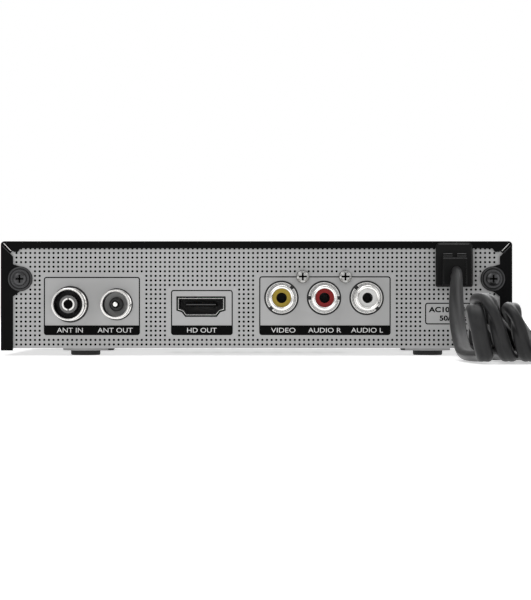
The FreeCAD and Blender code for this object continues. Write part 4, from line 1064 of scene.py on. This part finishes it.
def build_bore_shade(made):
    """Painted shade: a dark disc at the bottom of the aerial input's hollow contact."""
    place = middle_of("aerial_input_contact")
    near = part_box("aerial_input_contact")[0].y / MM + 1.1
    prism(made, disc_outline(place.x, place.z, 1.56, 32), near, near + 0.4)


def build_recess_shade(made):
    """Painted shade: dark crosses in the bottoms of the screws' cross recesses."""
    for node in ("cover_screws", "phono_screws"):
        low, high = box_of(node)
        radius = (high.z - low.z) / 2
        up = (high.z + low.z) / 2
        depths = (low.y + 0.34, low.y + 0.7)
        for x in (low.x + radius, high.x - radius):
            for turn in (0.0, math.pi / 2):
                across, rise = RECESS_ARM * math.cos(turn), RECESS_ARM * math.sin(turn)
                bar(made, (x - across, up - rise), (x + across, up + rise), RECESS_WIDTH, *depths)


def build_aerial_rims(made):
    """The rolled rims of the barrels and a turned groove near their roots."""
    for node, inner, outer in (("aerial_input_shell", 4.76, 5.3), ("aerial_output_shell", 4.16, 4.75)):
        place = middle_of(node)
        middle = (inner + outer) / 2
        bead = (
            (inner, 0.35),
            (inner + 0.03, 0.05),
            (middle - 0.1, -0.12),
            (middle + 0.1, -0.12),
            (outer + 0.02, 0.05),
            (outer + 0.05, 0.35),
            (outer - 0.05, 0.6),
            (inner + 0.05, 0.6),
        )
        turned(made, place.xz, AERIAL_TIP, bead, 56)
        root, crest = outer - 0.1, outer + 0.14
        for y in (REAR - 1.6, REAR - 2.6):
            turned(made, place.xz, y, ((root, 0), (crest, 0.12), (crest, 0.4), (root, 0.52)), 56)


def build_aerial_collar(made):
    """The raised middle of the aerial output's insulator, round its pin."""
    place = middle_of("aerial_output_shell")
    collar = ((1.26, -2.3), (1.9, -2.3), (2.3, -1.9), (2.3, -0.7), (1.26, -0.7))
    turned(made, place.xz, REAR, collar)


def build_jack_lips(made):
    """The rounded lips at the tips of the phono barrels and the bright edges of their base rings."""
    bead = (
        (2.98, 0.5),
        (3.02, 0.15),
        (3.2, -0.06),
        (3.45, -0.14),
        (3.75, -0.12),
        (4.0, 0.0),
        (4.14, 0.2),
        (4.19, 0.55),
        (4.0, 0.7),
        (3.1, 0.7),
    )
    for name, angle in JACKS:
        place = middle_of(f"{name}_jack_shell")
        turned(made, place.xz, JACK_TIP, bead, 56)
        for y in (JACK_TIP + 2.1, JACK_TIP + 4.6):
            turned(made, place.xz, y, ((4.1, 0), (4.24, 0.1), (4.24, 0.5), (4.1, 0.6)), 56)
        half = math.asin(SLOT_HALF_WIDTH / RIM_RADIUS)
        rim = ((4.88, -0.38), (RIM_RADIUS, -0.52), (5.06, -0.52), (5.14, -0.38))
        for side in (0, math.pi):
            turned(made, place.xz, REAR, rim, 56, angle + side + half, math.pi - 2 * half)


def build_jack_step_shade(made):
    """Painted shade: dark plated rings at the steps between each phono barrel and the edge of its base ring.
    """
    for name, angle in JACKS:
        place = middle_of(f"{name}_jack_shell")
        half = math.asin(SLOT_HALF_WIDTH / STEP_SHADE_RADIUS)
        for side in (0, math.pi):
            for radii, near in (((4.62, 4.86), -0.46), ((4.22, STEP_SHADE_RADIUS), -0.56)):
                tube(made, place.xz, REAR, radii, (near, -0.36), 56, angle + side + half, math.pi - 2 * half)


def build_port_shade_lining(made):
    """The digital video port's black inside: a sleeve over its inner walls, which is painted shade, and the
    black moulding at its back.
    """
    across = middle_of("video_port_shell").x
    outline = [(across + x, z) for x, z in PORT_OUTLINE]
    outer = inset_outline(outline, 0.66)
    inner = inset_outline(outline, 0.82)
    front, back = REAR + 0.15, REAR + 8.8
    ring(made, outer, inner, front, back)
    prism(made, outer, back, back + 0.2)


def build_port_shadows(made):
    """The dark gap round the digital video port and the dark inner edge of its shell."""
    low, high = box_of("video_port_shell")
    across = (low.x + high.x) / 2
    outline = [(across + x, z) for x, z in PORT_OUTLINE]
    ring(made, inset_outline(outline, -0.24), inset_outline(outline, 0.0), REAR - INK, REAR + 0.05)
    ring(made, inset_outline(outline, 0.46), inset_outline(outline, 0.7), low.y - INK, low.y + 0.05)


def build_port_contacts(made):
    """The contacts on both faces of the digital video port's tongue."""
    low, high = box_of("video_port_tongue")
    count = 10
    pitch = (high.x - low.x - 0.6) / count
    for index in range(count):
        left = low.x + 0.3 + index * pitch + pitch * 0.2
        for bottom, top in ((high.z, high.z + 0.03), (low.z - 0.03, low.z)):
            block(made, left, left + pitch * 0.6, low.y + 1.2, low.y + 6.0, bottom, top)


def build_port_glint(made):
    """Painted highlight: a lighter strip on the rounded front edge of the tongue."""
    low, high = box_of("video_port_tongue")
    middle = (low.z + high.z) / 2
    block(made, low.x + 0.2, high.x - 0.2, low.y - 0.06, low.y + 0.1, middle - 0.14, middle + 0.14, 0.05)


def add_socket_details():
    """Rims and contacts of the rear sockets, with painted shade in their linings, bore, gap and steps and in
    the screws' recesses, and a painted highlight on the port's tongue.
    """
    parts = (
        ("aerial_shade_linings", build_aerial_shade, BLACK_MOULDING_AND_SHADE, "black_plastic"),
        ("painted_bore_shade", build_bore_shade, BLACK_INK_AND_SHADE, "black_plastic"),
        ("screw_recess_shade", build_recess_shade, BLACK_INK_AND_SHADE, "black_screw"),
        ("aerial_rims", build_aerial_rims, PLATED, "plated"),
        ("aerial_collar", build_aerial_collar, GREY_INSULATOR, "white_insulator"),
        ("phono_lips", build_jack_lips, PLATED, "plated"),
        ("phono_step_shade", build_jack_step_shade, PLATED_SHADE, "plated"),
        ("video_port_shade_lining", build_port_shade_lining, BLACK_MOULDING_AND_SHADE, "black_plastic"),
        ("video_port_shadows", build_port_shadows, BLACK_INK_AND_SHADE, "black_plastic"),
        ("video_port_contacts", build_port_contacts, GOLD, "plated"),
        ("video_port_glint", build_port_glint, NYLON_HIGHLIGHT, "black_plastic"),
    )
    for name, build, finish, slot in parts:
        smooth(piece_of(name, build, finish), 35)


# ---- the strain relief

RELIEF_FACE = COVER_BACK - 2.0
RELIEF_BEVEL = 0.5
BLOCK_EDGES = (60.8, 23.0, 68.9, 32.3)
RIB_SPANS = ((61.2, 64.1), (65.7, 68.6))
RIB_HEIGHTS = (32.66, 33.42)


def build_relief(made):
    """The snap-in strain relief: plate, neck, inner plate and the block that holds the cord."""
    low, high = box_of("cord_grommet")
    outer = rounded(low.x, low.z, high.x, high.z, (0.6, 0.6, 1.4, 1.4), 5)
    bevelled = rounded(*shrunk(low.x, low.z, high.x, high.z, RELIEF_BEVEL), (0.3, 0.3, 1.0, 1.0), 5)
    plate = ((outer, COVER_BACK), (outer, RELIEF_FACE + RELIEF_BEVEL), (bevelled, RELIEF_FACE))
    loft(made, [loop_of(made, outline, y) for outline, y in plate])
    left, bottom, right, top = BLOCK_EDGES
    block(made, left, right, low.y, RELIEF_FACE + 0.1, bottom, top, 0.45)
    block(made, low.x + 2.15, high.x - 2.15, COVER_BACK, high.y - 2.0, low.z + 1.4, high.z - 0.9)
    block(made, low.x, high.x, high.y - 2.0, high.y, low.z + 2.0, high.z - 0.9)


def build_relief_highlights(made):
    """Painted highlights: lighter strips on the bevels, and the small ribs over the cord block in the same
    lighter finish.
    """
    low, high = box_of("cord_grommet")
    for left, right in RIB_SPANS:
        for up in RIB_HEIGHTS:
            block(made, left, right, RELIEF_FACE - 1.4, RELIEF_FACE + 0.1, up - 0.13, up + 0.13, 0.08)
    left, bottom, right, top = BLOCK_EDGES
    block(made, left + 0.1, right - 0.1, low.y - 0.02, low.y + 0.6, top - 0.5, top - 0.32, 0.06)
    block(made, right - 0.62, right - 0.46, low.y - 0.02, low.y + 0.6, bottom + 0.6, top - 0.4, 0.06)
    near, far = RELIEF_FACE - 0.03, RELIEF_FACE + 0.3
    block(made, low.x + 0.9, high.x - 1.2, near, far, high.z - 0.62, high.z - 0.46, 0.04)
    block(made, high.x - 0.6, high.x - 0.46, near, far, low.z + 0.8, high.z - 1.4, 0.04)


def build_ear_beads(made):
    """The low pressed bead round each cover screw, in a lighter paint that is a painted highlight."""
    screws = middle_of("cover_screws")
    bead = ((3.25, 0.1), (3.4, -0.12), (3.62, -0.2), (3.85, -0.12), (4.0, 0.1))
    for side in (-1, 1):
        turned(made, (side * EAR_ACROSS, screws.z), COVER_BACK, bead, 56)


def add_rear_details():
    """The strain relief and the cover's pressed beads, each with painted highlights."""
    relief = piece_of("cord_relief", build_relief, GROMMET)
    smooth(relief, 30)
    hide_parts("cord_grommet")
    smooth(piece_of("cord_relief_highlights", build_relief_highlights, NYLON_HIGHLIGHT), 30)
    smooth(piece_of("ear_beads", build_ear_beads, COVER_HIGHLIGHT), 50)


# ---- the display and the keys

# Segments of a digit, as (left, bottom, right, top) shares of its cell, and the digits shown.
SEGMENTS = {
    "a": (0.1, 0.92, 0.9, 1.0),
    "b": (0.86, 0.52, 1.0, 0.94),
    "c": (0.86, 0.06, 1.0, 0.48),
    "d": (0.1, 0.0, 0.9, 0.08),
    "e": (0.0, 0.06, 0.14, 0.48),
    "f": (0.0, 0.52, 0.14, 0.94),
    "g": (0.14, 0.46, 0.86, 0.54),
}
DIGITS = ("bc", "abged", "abcdef", "abcdef")
DIGIT_MARGIN = 2.0

# As shares of a fifth of the display: the digits' pitch and width, the colon's place and its gap.
DIGIT_PITCH = 1.13
DIGIT_WIDTH = 0.62
COLON_PLACE = 2.52
COLON_GAP = 0.5

POWER_RADIUS = 2.0
POWER_STROKE = 0.4
POWER_STEPS = 28
POWER_GAP = math.radians(32)


def build_digits(made):
    """Four lit digits and a colon behind the window, read from the front."""
    low, high = box_of("led_display")
    wide = (high.x - low.x) / 5
    cell = wide * DIGIT_WIDTH
    bottom = low.z + DIGIT_MARGIN
    tall = high.z - low.z - 2 * DIGIT_MARGIN
    front, back = high.y + 0.1, high.y - 0.05
    for index, lit in enumerate(DIGITS):
        left = high.x - (index + 0.85) * wide * DIGIT_PITCH - (COLON_GAP * wide if index > 1 else 0)
        for name in lit:
            start, low_end, end, high_end = SEGMENTS[name]
            near, far = left + (1 - end) * cell, left + (1 - start) * cell
            outline = rounded(near, bottom + low_end * tall, far, bottom + high_end * tall, (0.25,) * 4, 3)
            prism(made, outline, front, back)
    colon = high.x - COLON_PLACE * wide
    for share in (0.3, 0.7):
        prism(made, disc_outline(colon, bottom + tall * share, 0.5, 14), front, back)


def build_power_symbol(made):
    """A broken ring and a stroke on the power key."""
    low, high = box_of("power_button")
    middle = (low + high) / 2
    face, back = high.y + INK, high.y - 0.02
    sweep = math.tau - 2 * POWER_GAP
    turns = [math.pi / 2 + POWER_GAP + sweep * step / POWER_STEPS for step in range(POWER_STEPS + 1)]
    outer, inner = (
        [(middle.x + radius * math.cos(turn), middle.z + radius * math.sin(turn)) for turn in turns]
        for radius in (POWER_RADIUS, POWER_RADIUS - POWER_STROKE)
    )
    prism(made, [*outer, *reversed(inner)], face, back)
    bar(made, (middle.x, middle.z + 0.3), (middle.x, middle.z + 2.5), POWER_STROKE, face, back)


def arrow_builder(node, direction):
    """What builds a triangle on a channel key."""

    def build(made):
        low, high = box_of(node)
        middle = (low + high) / 2
        outline = [
            (middle.x - 1.3, middle.z - direction * 0.8),
            (middle.x + 1.3, middle.z - direction * 0.8),
            (middle.x, middle.z + direction * 1.1),
        ]
        prism(made, outline, high.y + INK, high.y - 0.02)

    return build


def add_case_details():
    """The cover's mitres with painted shade in their gaps, the lit digits and the symbols on the keys."""
    depths = (COVER_BACK - INK, COVER_BACK + 0.2)
    mitres = (
        ("cover_cut_edges", mirrored_bars(UPPER_CUT, 0.18, *depths), BARE),
        ("cover_dull_edges", mirrored_bars(LOWER_CUT, 0.2, *depths), BLACK_ZINC),
        # Painted shade: a black strip set in each mitre's gap.
        ("cover_mitre_gap_shade", mirrored_bars(MITRE_GAP_SHADE, 1.2, REAR - 0.3, REAR - 0.05), BLACK_INK_AND_SHADE),
    )
    for name, build, finish in mitres:
        piece_of(name, build, finish)
    piece_of("display_digits", build_digits, DIGIT)
    symbols = (
        ("power_symbol", build_power_symbol, "power_key"),
        ("channel_up_symbol", arrow_builder("channel_up_button", 1), "channel_up_key"),
        ("channel_down_symbol", arrow_builder("channel_down_button", -1), "channel_down_key"),
    )
    for name, build, body in symbols:
        piece_of(name, build, SYMBOL, body)


# ---- the scene

add_camera()
add_light()
add_floor()
scene.view_settings.view_transform = "Standard"
dress_cad()
cord, cord_path = add_cord()
plug_pieces = add_plug()
tie = add_tie()
add_printing()
add_case_details()
add_socket_details()
add_rear_details()
